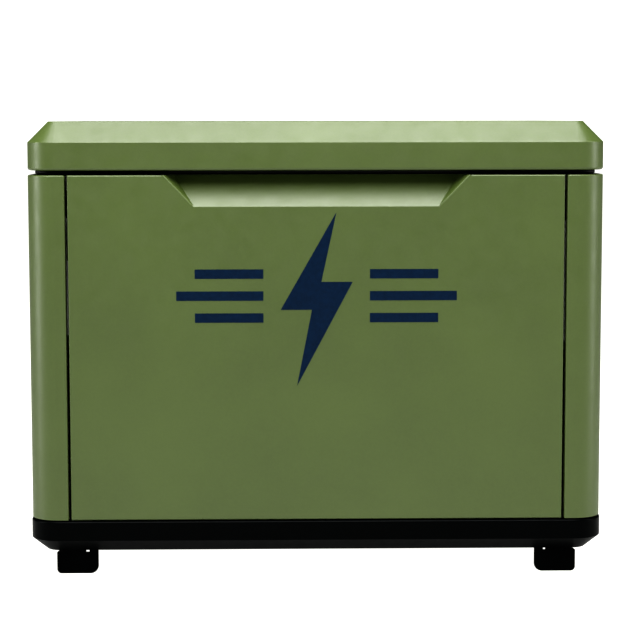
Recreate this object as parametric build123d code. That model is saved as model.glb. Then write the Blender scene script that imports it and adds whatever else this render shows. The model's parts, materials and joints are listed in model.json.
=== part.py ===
from build123d import *
import os
from math import cos, hypot, pi, radians, sin, tan

# A home standby generator: a sheet-metal enclosure on a moulded base tray and four feet, with a
# lid hinged at the back and a front panel that pulls off, around an air-cooled V-twin engine,
# its alternator, a muffler, a battery and a controller.
#
# Millimetres. The origin is on the ground, in the middle of the four anchor holes. +X is to the
# right seen from the front, +Y to the back, +Z up. The crankshaft runs along X.

# ---------------------------------------------------------------- driving dimensions: enclosure
WIDTH = 1000.0  # body and lid, along X
DEPTH = 680.0  # body and lid, along Y
CORNER_R = 50.0  # vertical corners of the body and the lid
FOOT_H = 43.0
BASE_H = 56.0
SILL_GAP = 2.0  # shadow line between the base rim and the panels
BODY_H = 599.5
LID_GAP = 8.0
SKIRT_H = 48.0
LID_BEVEL = 36.0  # 45 degree slope round the top of the lid

SHEET = 2.0  # body panels
EDGE_R = 2.5  # folded edges of the body panels
PANEL_LIP = 20.0  # folded-in flanges of the side and back panels
LID_SHEET = 2.5
LID_HEM = 24.0  # flange folded in under the lid's skirt
LID_LOWER_R = 4.5
LID_RIDGE_R = 2.0

SEAM_X = 70.0  # from the body's side to the middle of the seam beside the front panel
SEAM_GAP = 4.5
FRONT_DEPTH = 22.0  # flanges of the front and back panels

POCKET_H = 54.0  # finger pocket in the front panel's top edge
POCKET_TOP_HALF = 262.0
POCKET_LOW_HALF = 210.0
POCKET_BACK_HALF = 247.0
POCKET_DEPTH = 44.0
POCKET_EDGE_R = 3.0

LOUVRE_Y = (-60.0, 240.0)
LOUVRE_SHARE = (0.42, 0.84)  # of the body's height
LOUVRE_LAP = 10.0
LOUVRE_PROUD = 2.0
LOUVRE_DEEP = 18.0
LOUVRE_RIM = 3.0
LOUVRE_CLEAR = 0.3
BLADE_T = 2.0
BLADE_PITCH = 16.0
BLADE_TILT = 42.0
SLOT_COLUMNS = 3
SLOT_ROWS = 12
SLOT_X = 40.0
SLOT_STEP_X = 125.0
SLOT_STEP_Z = 20.0
SLOT_W = 105.0
SLOT_H = 7.0

EMBLEM_DROP = 160.0  # below the finger pocket
EMBLEM_T = 0.4
BAR_X = 92.0
BAR_H = 16.0
BARS = ((44.0, 118.0), (6.0, 150.0), (-32.0, 118.0))  # level and length

# ------------------------------------------------------------- driving dimensions: base and feet
BASE_PROUD = 1.5  # the base stands this far outside the body
BASE_WALL = 3.0
BASE_BEVEL_H = 22.0
BASE_BEVEL_IN = 27.0
BASE_RIM_R = 4.0
BASE_LOWER_R = 2.0
TRAY_NUT_H = 6.5
PAD_H = 12.0  # pressed pads under the vibration mounts
PAD_HALF = 29.0

FOOT_W = 73.0
FOOT_D = 70.0
FOOT_DRAFT = 9.0  # each side leans in by this much towards the middle of the base
FOOT_WALL = 4.0
FOOT_FLOOR = 6.0
FOOT_INSET_X = 43.0  # from the body's side to the foot's outer side
FOOT_INSET_Y = 32.0  # from the body's front to the foot's front
FOOT_OUTER_R = 8.0
FOOT_INNER_R = 15.0
FOOT_SLOT_H = 5.0
FOOT_SLOT_W = 10.0
FOOT_SLOT_IN = 16.0  # from the foot's inner side to the inner slot
ANCHOR_HOLE_R = 6.0
FOOT_SCREW_R = 4.0
FOOT_SCREW_CLEAR = 0.3
FOOT_BOSS_R = 10.0
FOOT_HOLES = 14.0  # from the foot's middle to its screw and to its anchor hole

# -------------------------------------------------------------- driving dimensions: inner frame
INNER_CORNER_R = 30.0
POST_LEG = 36.0
POST_T = 3.0
POST_GAP = 2.0  # between the front panel's flanges and the front posts
RING_T = 2.5
RING_LEG = 14.0
RING_DROP = 25.0
RING_INSET = 4.0  # from the body's side to the ring
SERVICE_RAIL_Y = -150.0
SERVICE_RAIL_W = 14.0

# ------------------------------------------------------- driving dimensions: lid and its fittings
SEAL_INSET = 7.0
SEAL_W = 8.0
SEAL_CLEAR = 0.4  # the uncompressed seal stops this far above the body
FOAM_T = 18.0
FOAM_INSET = 42.0
HINGE_X = 300.0
HINGE_LEN = 90.0
HINGE_LEAF_H = 42.0
HINGE_T = 2.5
KNUCKLE_R = 6.0
KNUCKLE_CLEAR = 0.5
HINGE_PIN_R = 2.5
RUNNING = 0.05  # radial clearance of a pin in its bore
LID_OPEN = 55.0  # degrees

LOCK_Y = -200.0
LOCK_DROP = 45.0  # below the body's top
LOCK_FLANGE_R = 15.0
LOCK_BARREL_R = 10.0
LOCK_PLUG_R = 7.0
CAM_T = 3.0
CAM_W = 12.0
CAM_REACH = 26.0
HOOK_X_GAP = 0.5  # from the lid's hem to the hook's plane

PROP_Y = -120.0  # pivot of the lid prop when the lid is closed
PROP_RISE = 24.0  # above the lid's lower edge
PROP_LEAN = 75.0  # forward of its pivot, from there down to its rest in the cup
PROP_R = 4.0
PROP_EYE_R = 8.0
PROP_PIN_R = 3.0
PROP_X_IN = 40.0  # from the body's side to the prop's plane
PROP_CLEAR = 0.4
CUP_W = 7.0
CLIP_SHARE = 0.8  # of the prop's length, from its pivot to its clip

STUD_R = 5.0
STUD_CLEAR = 0.3
STUD_IN = 16.0  # from the front panel's edge
STUD_IN_Z = 62.0
SPACER_R = 7.0
SCREW_R = 3.0
SCREW_HOLE_R = 3.3
SCREW_HEAD_R = 6.5
SCREW_HEAD_H = 3.5
SCREW_SHARES = (0.1, 0.5, 0.88)  # of the body's height

# --------------------------------------------------------------- driving dimensions: power train
CRANK_Z = 262.0
CRADLE_Z = 92.0
CRADLE_T = 8.0
MOUNT_X = (-300.0, 190.0)
MOUNT_Y = 120.0
CASE_X = (-60.0, 170.0)
CASE_R = 105.0
CASE_WALL = 10.0
JOURNAL_R = 30.0
BANK_X = (30.0, 80.0)  # front and back cylinder
BANK_ANGLE = 45.0
DECK = 128.0  # from the crank's axis to the foot of a cylinder
BARREL_TOP = 222.0
HEAD_TOP = 268.0
ROCKER_TOP = 304.0
FIN_T = 2.5
FIN_PITCH = 10.0
BLOWER_R = 145.0
BLOWER_X = (170.0, 250.0)
BLOWER_T = 2.5
BLOWER_HALF_Y = 112.0
BLOWER_H = 176.0  # above the crank's axis
FAN_R = 118.0
ALT_X = (-330.0, -80.0)
ALT_R = 125.0
ALT_WALL = 6.0
STATOR_X = (-262.0, -142.0)
STATOR_BORE_R = 80.0
AIR_GAP = 1.5

STARTER_OUT = 43.0  # from the crankcase's side to the starter's axis
STARTER_DROP = 40.0  # below the crank's axis
STARTER_R = 38.0
SOLENOID_R = 21.0
FILTER_R = 37.0
FILTER_X = 40.0
FILTER_DROP = 84.0
DIPSTICK_X = -45.0
DIPSTICK_Y = -118.0
DIPSTICK_TOP = 430.0
TUBE_R = 8.0
TUBE_BORE_R = 6.0
MIX_X = 55.0
MIX_Z = 470.0
MIX_R = 27.0
ARM_R = 17.0
AIR_Z = 524.0
AIR_BASE_H = 14.0
AIR_COVER_H = 52.0
AIR_HALF_Y = 92.0
CAN_R = 78.0
CAN_IN = 128.0  # from the body's side to the muffler's axis
CAN_LIFT = 70.0  # above the tray's pads
CAN_RISE = 132.0  # above the crank's axis
PIPE_R = 15.0
TAIL_Y = 200.0
TAIL_Z = 190.0
TAIL_R = 22.0
TAIL_WALL = 2.0

# --------------------------------------------- driving dimensions: controls, battery and fuel
FACE_TILT = 38.0  # the control face's slope above the horizontal
FACE_LEN = 100.0
BOX_IN = 62.0  # from the body's side to the controller
BOX_W = 226.0
BOX_H = 150.0  # from the top ring down to the controller's floor
BUTTON_R = 9.0
BUTTON_CLEAR = 0.3
BUTTON_FIRST = 44.0
BUTTON_STEP = 34.0
BUTTON_UP = 30.0  # up the control face
SCREEN_IN = 62.0  # from the controller's right side to the screen's middle
SCREEN_UP = 62.0
SCREEN_W = 82.0
SCREEN_H = 44.0
SCREEN_CLEAR = 0.25
BREAKER_GAP = 70.0  # from the controller to the breaker's middle
BREAKER_HALF = 36.0
BREAKER_D = 70.0
BREAKER_H = 110.0
LEVER_LEAN = 16.0
BATTERY_IN_X = 92.0
BATTERY_IN_Y = 60.0
BATTERY_W = 196.0
BATTERY_D = 128.0
BATTERY_H = 172.0
BATTERY_LID_H = 26.0
POST_IN_X = 36.0
POST_IN_Y = 34.0
POST_R = 8.0
POST_H = 14.0
FUEL_X = -150.0
FUEL_Z = 470.0
FUEL_R = 15.0
FUEL_BORE_R = 10.0
HOLE_CLEAR = 0.3
REG_Y = 236.0
REG_R = 56.0
CONDUIT_X = -330.0
CONDUIT_Z = 200.0
CONDUIT_R = 17.0
STOP_X = -330.0
STOP_SHARE = 0.8  # of the body's height
STOP_STEM_R = 7.0
STOP_SLEEVE = 4.0
STOP_HEAD_R = 19.0

CABLE_R = 4.5
HOSE_R = 11.0

ARC_SHARE = 0.45  # of the shorter run, taken up by a cable's or a pipe's bend
TOL = 0.01

# ------------------------------------------------------------------------------ derived levels
half_w = WIDTH / 2
half_d = DEPTH / 2
base_z0 = FOOT_H
rim_z = base_z0 + BASE_H
floor_z = base_z0 + BASE_WALL
body_z0 = rim_z + SILL_GAP
body_z1 = body_z0 + BODY_H
lid_z0 = body_z1 + LID_GAP
lid_z1 = lid_z0 + SKIRT_H
top_z = lid_z1 + LID_BEVEL
side_edge_x = half_w - SEAM_X + SEAM_GAP / 2  # where the side panels end
front_half = half_w - SEAM_X - SEAM_GAP / 2  # where the front and back panels end
pad_top = floor_z + PAD_H
cradle_top = CRADLE_Z + CRADLE_T
ring_z1 = body_z1 - SHEET - 0.2
ring_front = -half_d + POCKET_DEPTH + SHEET + 8.0
hinge_y = half_d + KNUCKLE_R + KNUCKLE_CLEAR
hinge_z = body_z1 + LID_GAP / 2
lock_z = body_z1 - LOCK_DROP
hem_x = half_w - LID_HEM
hook_x = hem_x - HOOK_X_GAP  # outer face of the lock hooks and cams
prop_x = half_w - PROP_X_IN
prop_z = lid_z0 + PROP_RISE
post_y = -half_d + FRONT_DEPTH + POST_GAP
post_x = front_half + POST_GAP
stud_x = front_half - STUD_IN
starter_y = -CASE_R - STARTER_OUT
starter_z = CRANK_Z - STARTER_DROP
box_x0 = -half_w + BOX_IN
box_x1 = box_x0 + BOX_W
face_low = (SERVICE_RAIL_Y - 112.0, ring_z1 - RING_DROP - 62.0)  # Y and Z of its lower edge
stop_z = body_z0 + BODY_H * STOP_SHARE
blower_roof = CRANK_Z + BLOWER_H


# ------------------------------------------------------------------------------ shape helpers
def block(x0, x1, y0, y1, z0, z1):
    """A box given by its bounds."""
    return Pos((x0 + x1) / 2, (y0 + y1) / 2, (z0 + z1) / 2) * Box(x1 - x0, y1 - y0, z1 - z0)


def outline_slab(inset, z0, z1):
    """The enclosure's rounded outline, moved in by inset, between two heights."""
    outline = RectangleRounded(WIDTH - 2 * inset, DEPTH - 2 * inset, CORNER_R - inset)
    return Pos(0, 0, z0) * extrude(outline, z1 - z0)


def opening_slab(inset, front, z0, z1):
    """A rounded rectangle that stops at the same inset from both sides and the back."""
    width = WIDTH - 2 * inset
    depth = half_d - inset - front
    outline = RectangleRounded(width, depth, INNER_CORNER_R)
    return Pos(0, front + depth / 2, z0) * extrude(outline, z1 - z0)


def outline_taper(inset0, z0, inset1, z1):
    """The enclosure's outline tapering from one inset to another."""
    low = RectangleRounded(WIDTH - 2 * inset0, DEPTH - 2 * inset0, CORNER_R - inset0)
    high = RectangleRounded(WIDTH - 2 * inset1, DEPTH - 2 * inset1, CORNER_R - inset1)
    return loft([Pos(0, 0, z0) * low, Pos(0, 0, z1) * high], ruled=True)


def rod(start, end, radius):
    """A round bar from one point to another."""
    run = Vector(*end) - Vector(*start)
    seat = Plane(origin=start, z_dir=run)
    return seat * Cylinder(radius, run.length, align=(Align.CENTER, Align.CENTER, Align.MIN))


def tube(start, end, outer, inner):
    """A round tube from one point to another."""
    return rod(start, end, outer) - rod(start, end, inner)


def bar_x(x0, x1, y, z, radius):
    """A round bar along X."""
    return rod((x0, y, z), (x1, y, z), radius)


def swept_tube(name, points, radius):
    """A round bar along straight runs, joined by the largest tangent arcs that the runs allow."""
    runs = [Vector(*end) - Vector(*start) for start, end in zip(points, points[1:])]
    bends = []
    for before, after in zip(runs, runs[1:]):
        half_turn = radians(before.get_angle(after)) / 2
        bends.append(ARC_SHARE * min(before.length, after.length) / tan(half_turn))
    path = FilletPolyline(*points, radius=bends)
    shape = sweep(Plane(origin=path @ 0, z_dir=path % 0) * Circle(radius), path=path)
    share = shape.volume / (pi * radius ** 2 * path.length)
    print(f"{name}: {path.length:.0f} mm long, volume share {share:.4f},",
          "bend radii", [round(bend) for bend in bends])
    return shape


def group(*solids):
    """Several separate solids as one node."""
    flat = [piece for solid in solids for piece in solid.solids()]
    return Compound(flat)


def both_sides(shape):
    """A shape and its mirror image across X = 0."""
    return group(shape, mirror(shape, about=Plane.YZ))


def edges_where(shape, test):
    """The edges of a shape whose middle passes a test."""
    return [edge for edge in shape.edges() if test(edge.center(), edge)]


# ------------------------------------------------------------------------------ base and feet
def base_tray():
    """A moulded tray with a sloping lower edge, a rounded rim and four raised pads."""
    bevel_z = base_z0 + BASE_BEVEL_H
    out = -BASE_PROUD
    body = outline_taper(out + BASE_BEVEL_IN, base_z0, out, bevel_z)
    body += outline_slab(out, bevel_z, rim_z)
    body = fillet(edges_where(body, lambda c, e: c.Z > rim_z - TOL), BASE_RIM_R)
    body = fillet(edges_where(body, lambda c, e: c.Z < base_z0 + TOL), BASE_LOWER_R)
    wall = out + BASE_WALL
    body -= outline_taper(wall + BASE_BEVEL_IN, floor_z, wall, bevel_z + BASE_WALL / 2)
    body -= outline_slab(wall, bevel_z + BASE_WALL / 2, rim_z + 1)
    for x in MOUNT_X:
        for y in (-MOUNT_Y, MOUNT_Y):
            body += block(x - PAD_HALF, x + PAD_HALF, y - PAD_HALF, y + PAD_HALF, floor_z, pad_top)
    for x, y in foot_screw_places():
        body -= rod((x, y, base_z0 - 1), (x, y, floor_z + 1), FOOT_SCREW_R + FOOT_SCREW_CLEAR)
    return body


def foot_centres():
    """The middle of each foot: X, Y, and the signs that point outwards."""
    x = half_w - FOOT_INSET_X - FOOT_W / 2
    y = half_d - FOOT_INSET_Y - FOOT_D / 2
    return [(sx * x, sy * y, sx, sy) for sx in (-1, 1) for sy in (-1, 1)]


def foot_screw_places():
    """One screw in each foot, towards its inner end."""
    return [(x, y - sy * FOOT_HOLES) for x, y, sx, sy in foot_centres()]


def foot_plan(inset):
    """A foot's outline from above, moved in at its sides: it narrows away from its outer end."""
    wide = FOOT_W / 2 - inset
    narrow = wide - FOOT_DRAFT
    end = FOOT_D / 2
    return Polygon((-wide, end), (-narrow, -end), (narrow, -end), (wide, end), align=None)


def foot(sx, sy):
    """A hollow foot, open towards the middle of the base, for the corner (sx, sy)."""
    shape = extrude(foot_plan(0), FOOT_H)
    outer = edges_where(shape, lambda c, e: c.Z < TOL and c.X > FOOT_W / 4)
    shape = fillet(outer, FOOT_OUTER_R)
    inner = edges_where(shape, lambda c, e: c.Z < TOL and c.X < -FOOT_W / 4)
    shape = fillet(inner, FOOT_INNER_R)
    shape -= Pos(0, -FOOT_WALL, FOOT_FLOOR) * extrude(foot_plan(FOOT_WALL), FOOT_H)
    slot_z = FOOT_H - FOOT_SLOT_H
    slot_x = FOOT_SLOT_IN - FOOT_W / 2
    shape -= block(FOOT_W / 2 - FOOT_SLOT_W, FOOT_W, -FOOT_D, FOOT_D, slot_z, FOOT_H + 1)
    shape -= block(slot_x, slot_x + FOOT_SLOT_W, -FOOT_D, FOOT_D, slot_z, FOOT_H + 1)
    shape += rod((0, -FOOT_HOLES, 0), (0, -FOOT_HOLES, FOOT_H), FOOT_BOSS_R)
    shape -= rod((0, -FOOT_HOLES, -1), (0, -FOOT_HOLES, FOOT_H + 1), FOOT_SCREW_R + FOOT_SCREW_CLEAR)
    shape -= rod((0, -FOOT_HOLES, -1), (0, -FOOT_HOLES, FOOT_FLOOR), FOOT_SCREW_R * 2)
    shape -= rod((0, FOOT_HOLES, -1), (0, FOOT_HOLES, FOOT_FLOOR + 1), ANCHOR_HOLE_R)
    if sx < 0:
        shape = mirror(shape, about=Plane.YZ)
    if sy < 0:
        shape = mirror(shape, about=Plane.XZ)
    return shape


def feet():
    """The four feet."""
    return group(*[Pos(x, y, 0) * foot(sx, sy) for x, y, sx, sy in foot_centres()])


def foot_screws():
    """Four screws, each up through a foot into a nut in the base tray."""
    screws = []
    for x, y in foot_screw_places():
        head = rod((x, y, 1), (x, y, FOOT_FLOOR), FOOT_SCREW_R * 1.7)
        head -= Pos(x, y, 0) * extrude(RegularPolygon(FOOT_SCREW_R * 0.8, 6), 3.5)
        shank = rod((x, y, FOOT_FLOOR), (x, y, floor_z + TRAY_NUT_H + 2.5), FOOT_SCREW_R)
        nut = Pos(x, y, floor_z) * extrude(RegularPolygon(FOOT_SCREW_R * 1.8, 6), TRAY_NUT_H)
        screws.append(head + shank + nut)
    return group(*screws)


# ------------------------------------------------------------------------------ inner frame
def corner_post(levels):
    """A post at the front right: an angle with a foot on the tray's floor, holed at some levels."""
    low_z = base_z0 + BASE_BEVEL_H + BASE_WALL
    foot_y = -half_d + BASE_BEVEL_IN + BASE_WALL
    post = block(post_x - POST_LEG, post_x, post_y, post_y + POST_T, low_z, ring_z1 - RING_DROP)
    post += block(post_x - POST_T, post_x, post_y, ring_front, low_z, ring_z1 - RING_DROP)
    post += block(post_x - POST_T, post_x, foot_y, ring_front, floor_z, low_z)
    post += block(post_x - POST_LEG, post_x, foot_y, ring_front, floor_z, floor_z + POST_T)
    post += block(post_x - POST_T, post_x, ring_front - POST_T, ring_front,
                  ring_z1 - RING_DROP, ring_z1)
    for z in levels:
        post -= rod((stud_x, post_y - 1, z), (stud_x, post_y + POST_T + 1, z), STUD_R + STUD_CLEAR)
    return post


def corner_posts():
    """Four angle posts between the tray's floor and the top ring; the back ones carry spacers."""
    front = corner_post(stud_levels())
    back = corner_post([])
    for z in screw_levels():
        back += rod((stud_x, -half_d + SHEET, z), (stud_x, post_y + POST_T, z), SPACER_R)
        back -= rod((stud_x, -half_d, z), (stud_x, post_y + POST_T + 1, z), SCREW_HOLE_R)
    return both_sides(group(front, mirror(back, about=Plane.XZ)))


def stud_levels():
    """Heights of the front panel's studs."""
    return (body_z0 + STUD_IN_Z, body_z1 - STUD_IN_Z)


def screw_levels():
    """Heights of the back panel's screws."""
    return [body_z0 + BODY_H * share for share in SCREW_SHARES]


def ring_solid(outer, inner, z0, z1):
    """The top ring between two insets; its front side lies behind the finger pocket."""
    shift = outer - RING_INSET
    depth = inner - outer
    shape = frame_slab(shift, z0, z1)
    return shape - frame_slab(shift + depth, z0 - 1, z1 + 1)


def frame_slab(shift, z0, z1):
    """The top ring's outline, moved in by shift, between two heights."""
    y0, y1 = ring_front + shift, -post_y - shift
    outline = RectangleRounded(2 * (half_w - RING_INSET - shift), y1 - y0, INNER_CORNER_R - shift)
    return Pos(0, (y0 + y1) / 2, z0) * extrude(outline, z1 - z0)


def top_frame():
    """An angle ring under the panels' top flanges, a service rail and the prop's rest."""
    frame = ring_solid(RING_INSET, RING_INSET + RING_T, ring_z1 - RING_DROP, ring_z1)
    frame += ring_solid(RING_INSET, RING_INSET + RING_LEG, ring_z1 - RING_T, ring_z1)
    rail_x = half_w - RING_INSET - RING_T / 2
    rail_y = SERVICE_RAIL_Y
    frame += block(-rail_x, rail_x, rail_y, rail_y + SERVICE_RAIL_W,
                   ring_z1 - RING_DROP, ring_z1 - RING_DROP + RING_T)
    frame += block(-rail_x, rail_x, rail_y, rail_y + RING_T,
                   ring_z1 - RING_DROP, ring_z1 - RING_T)
    return frame + prop_cup()


def prop_cup():
    """A notched tab on the ring's left side that the prop's bent tip rests in."""
    tip_y, tip_z = prop_rest()
    x1 = -prop_x - PROP_R - 3
    x0 = x1 - CUP_W
    ring_in = -(half_w - RING_INSET - RING_LEG)
    tab = block(ring_in - 1, x1, tip_y - 12, tip_y + 12, ring_z1 - RING_T, ring_z1)
    cup = block(x0, x1, tip_y - 12, tip_y + 12, ring_z1 - RING_T, tip_z + 4)
    cup -= bar_x(x0 - 1, x1 + 1, tip_y, tip_z, PROP_R + PROP_CLEAR)
    cup -= block(x0 - 1, x1 + 1, tip_y - PROP_R - PROP_CLEAR, tip_y + PROP_R + PROP_CLEAR,
                 tip_z, tip_z + 10)
    return tab + cup


# ------------------------------------------------------------------------------ body panels
def louvre_window():
    """Bounds in Y and Z of the louvre in a side panel."""
    low, high = LOUVRE_SHARE
    return (*LOUVRE_Y, body_z0 + BODY_H * low, body_z0 + BODY_H * high)


def side_panel(sign):
    """A side panel that wraps round both of its corners, with flanges folded in all round."""
    keep = block(-WIDTH, -side_edge_x, -DEPTH, DEPTH, body_z0, body_z1)
    body = outline_slab(0, body_z0, body_z1) & keep
    folded = edges_where(body, lambda c, e: c.Z > body_z1 - TOL
                         or (abs(c.X + side_edge_x) < TOL and abs(c.Y) > half_d - TOL))
    body = fillet(folded, EDGE_R)
    inside = block(-WIDTH, -side_edge_x - SHEET, -DEPTH, DEPTH, body_z0, body_z1)
    body -= outline_slab(SHEET, body_z0 + SHEET, body_z1 - SHEET) & inside
    body -= outline_slab(PANEL_LIP, body_z0 - 1, body_z1 + 1)
    y0, y1, z0, z1 = louvre_window()
    body -= block(-WIDTH, -half_w + SHEET + 1, y0, y1, z0, z1)
    body -= bar_x(-half_w - 1, -half_w + SHEET + 1, LOCK_Y, lock_z, LOCK_BARREL_R + 0.2)
    if sign > 0:
        body = mirror(body, about=Plane.YZ)
        body -= bar_x(half_w - SHEET - 1, half_w + 1, TAIL_Y, TAIL_Z, TAIL_R + 3)
    return body


def side_louvre(sign):
    """A louvre: a flange on the panel's outside and sloping blades behind it."""
    y0, y1, z0, z1 = louvre_window()
    lap, rim = LOUVRE_LAP, LOUVRE_RIM
    flange = block(-half_w - LOUVRE_PROUD, -half_w, y0 - lap, y1 + lap, z0 - lap, z1 + lap)
    flange = fillet(edges_where(flange, lambda c, e: c.X < -half_w - LOUVRE_PROUD + TOL), 1.2)
    sleeve = block(-half_w, -half_w + LOUVRE_DEEP, y0 + LOUVRE_CLEAR, y1 - LOUVRE_CLEAR,
                   z0 + LOUVRE_CLEAR, z1 - LOUVRE_CLEAR)
    grille = flange + sleeve
    grille -= block(-half_w - LOUVRE_PROUD - 1, -half_w + LOUVRE_DEEP + 1,
                    y0 + rim, y1 - rim, z0 + rim, z1 - rim)
    count = int((z1 - z0 - 2 * rim) // BLADE_PITCH)
    blade = Rot(Y=-BLADE_TILT) * Box(LOUVRE_DEEP * 1.15, y1 - y0 - 2 * rim + 0.5, BLADE_T)
    for i in range(count):
        z = z0 + rim + BLADE_PITCH * (i + 0.5)
        grille += Pos(-half_w + LOUVRE_DEEP / 2 - 1, (y0 + y1) / 2, z) * blade
    return mirror(grille, about=Plane.YZ) if sign > 0 else grille


def flat_panel(y_sign):
    """A flat panel with flanges folded towards the inside of the enclosure."""
    outer = block(-front_half, front_half, -half_d, -half_d + FRONT_DEPTH, body_z0, body_z1)
    face = edges_where(outer, lambda c, e: c.Y < -half_d + TOL)
    outer = fillet(face, EDGE_R)
    inner = block(-front_half + SHEET, front_half - SHEET, -half_d + SHEET, 0,
                  body_z0 + SHEET, body_z1 - SHEET)
    body = outer - inner
    return mirror(body, about=Plane.XZ) if y_sign > 0 else body


def pocket_wedge(skin, over):
    """The finger pocket's space, grown outwards by skin and upwards by over."""
    slope = hypot(POCKET_DEPTH, POCKET_H) / POCKET_DEPTH
    low_z = body_z1 - POCKET_H - skin * slope
    rise = body_z1 + over - low_z
    share = rise / POCKET_H
    low = POCKET_LOW_HALF + skin
    top = low + (POCKET_TOP_HALF - POCKET_LOW_HALF) * share
    back = low + (POCKET_BACK_HALF - POCKET_LOW_HALF) * share
    y0, y1, z1 = -half_d, -half_d + POCKET_DEPTH * share, body_z1 + over
    front = [(-low, y0, low_z), (low, y0, low_z), (top, y0, z1), (-top, y0, z1)]
    rear = [(-back, y1, z1), (back, y1, z1)]
    faces = [front, [front[0], front[1], rear[1], rear[0]], [front[3], front[2], rear[1], rear[0]],
             [front[0], front[3], rear[0]], [front[1], front[2], rear[1]]]
    shell = Shell([Face(Wire.make_polygon(corners, close=True)) for corners in faces])
    return Solid(shell)


def front_panel():
    """The removable front panel, with a sloping finger pocket pressed into its top edge."""
    body = flat_panel(-1)
    pocket = pocket_wedge(SHEET, 0)
    body += pocket
    body -= pocket_wedge(0, 1)
    mouth = edges_where(body, lambda c, e: abs(c.Y + half_d) < TOL and abs(c.X) < POCKET_TOP_HALF
                        and body_z1 - POCKET_H - TOL < c.Z < body_z1 - EDGE_R)
    return fillet(mouth, POCKET_EDGE_R)


def back_panel():
    """The fixed back panel, with air slots and holes for fuel, conduit and the shutdown button."""
    body = flat_panel(1)
    y0, y1 = half_d - SHEET - 1, half_d + 1
    for column in range(SLOT_COLUMNS):
        for row in range(SLOT_ROWS):
            x = SLOT_X + column * SLOT_STEP_X
            z = body_z0 + BODY_H * LOUVRE_SHARE[0] + row * SLOT_STEP_Z
            body -= block(x, x + SLOT_W, y0, y1, z, z + SLOT_H)
    for x, z, radius in ((FUEL_X, FUEL_Z, FUEL_R + HOLE_CLEAR), (CONDUIT_X, CONDUIT_Z, CONDUIT_R),
                         (STOP_X, stop_z, STOP_STEM_R + STOP_SLEEVE + HOLE_CLEAR)):
        body -= rod((x, y0, z), (x, y1, z), radius)
    for x, z in back_screw_places():
        body -= rod((x, y0, z), (x, y1, z), SCREW_HOLE_R)
    return body


def back_screw_places():
    """X and Z of the back panel's six screws."""
    return [(side * stud_x, z) for side in (-1, 1) for z in screw_levels()]


def panel_screws():
    """Six screws that hold the back panel to the rear posts."""
    screws = []
    for x, z in back_screw_places():
        head = rod((x, half_d, z), (x, half_d + SCREW_HEAD_H, z), SCREW_HEAD_R)
        head = fillet(edges_where(head, lambda c, e: c.Y > half_d + 3), 1.5)
        shank = rod((x, half_d, z), (x, -post_y - POST_T - 4, z), SCREW_R)
        socket = Plane(origin=(x, half_d + 4, z), z_dir=(0, -1, 0)) * extrude(
            RegularPolygon(2.6, 6), 2.6)
        screws.append(head + shank - socket)
    return group(*screws)


def front_studs():
    """Four push-in studs on the back of the front panel, in the front posts' holes."""
    studs = []
    skin_y = -half_d + SHEET
    for z in stud_levels():
        stud = rod((stud_x, skin_y, z), (stud_x, skin_y + 3, z), STUD_R * 2)
        stud += rod((stud_x, skin_y + 3, z), (stud_x, post_y + POST_T + 9, z), STUD_R)
        tip = edges_where(stud, lambda c, e: c.Y > post_y + POST_T + 8)
        studs.append(fillet(tip, STUD_R * 0.6))
    return both_sides(group(*studs))


def front_insulation():
    """A foam mat on the back of the front panel, below the finger pocket."""
    side = front_half - STUD_IN * 2 - 4
    return block(-side, side, -half_d + SHEET, -half_d + SHEET + FOAM_T * 0.8,
                 body_z0 + PANEL_LIP, body_z1 - POCKET_H - PANEL_LIP)


def emblem():
    """A plain lightning-bolt decal between two bars, on the front panel."""
    mid_z = body_z1 - POCKET_H - EMBLEM_DROP
    bolt = Polygon((34, 150), (-62, -18), (-8, -18), (-34, -150), (62, 30), (8, 30),
                   align=None)
    face = Plane(origin=(0, -half_d, mid_z), x_dir=(1, 0, 0), z_dir=(0, -1, 0))
    decal = face * extrude(bolt, EMBLEM_T)
    bars = []
    for side in (-1, 1):
        for level, length in BARS:
            centre = side * (BAR_X + length / 2)
            bar = Pos(centre, level) * Rectangle(length, BAR_H)
            bars.append(face * extrude(bar, EMBLEM_T))
    return group(decal, *bars)


# ------------------------------------------------------------------------------ lid
def lid_shell():
    """The lid: a skirt, a 45 degree slope all round, a flat top and a hem folded in below."""
    body = outline_slab(0, lid_z0, lid_z1) + outline_taper(0, lid_z1, LID_BEVEL, top_z)
    body = fillet(edges_where(body, lambda c, e: c.Z < lid_z0 + TOL), LID_LOWER_R)
    body = fillet(edges_where(body, lambda c, e: abs(c.Z - lid_z1) < TOL), LID_RIDGE_R)
    body = fillet(edges_where(body, lambda c, e: c.Z > top_z - TOL), LID_RIDGE_R)
    bend = LID_SHEET * tan(radians(22.5))
    inner_z = top_z - LID_SHEET
    body -= outline_slab(LID_SHEET, lid_z0 + LID_SHEET, lid_z1 - bend)
    body -= outline_taper(LID_SHEET, lid_z1 - bend, LID_BEVEL + bend, inner_z)
    body -= opening_slab(LID_HEM, ring_front + SEAL_W * 2, lid_z0 - 1, lid_z0 + LID_SHEET + 1)
    return body


def lid_seal():
    """A rubber ring under the lid's hem; its front side lies behind the finger pocket."""
    z0, z1 = body_z1 + SEAL_CLEAR, lid_z0
    front = ring_front + SEAL_CLEAR
    ring = opening_slab(SEAL_INSET, front, z0, z1)
    ring -= opening_slab(SEAL_INSET + SEAL_W, front + SEAL_W, z0 - 1, z1 + 1)
    reach = half_w - SEAL_INSET - INNER_CORNER_R
    return ring + block(-reach, reach, front, front + SEAL_W, ring_z1 + SEAL_CLEAR, z0)


def lid_insulation():
    """A foam mat under the lid's top."""
    z1 = top_z - LID_SHEET
    return outline_slab(FOAM_INSET, z1 - FOAM_T, z1)


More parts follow.
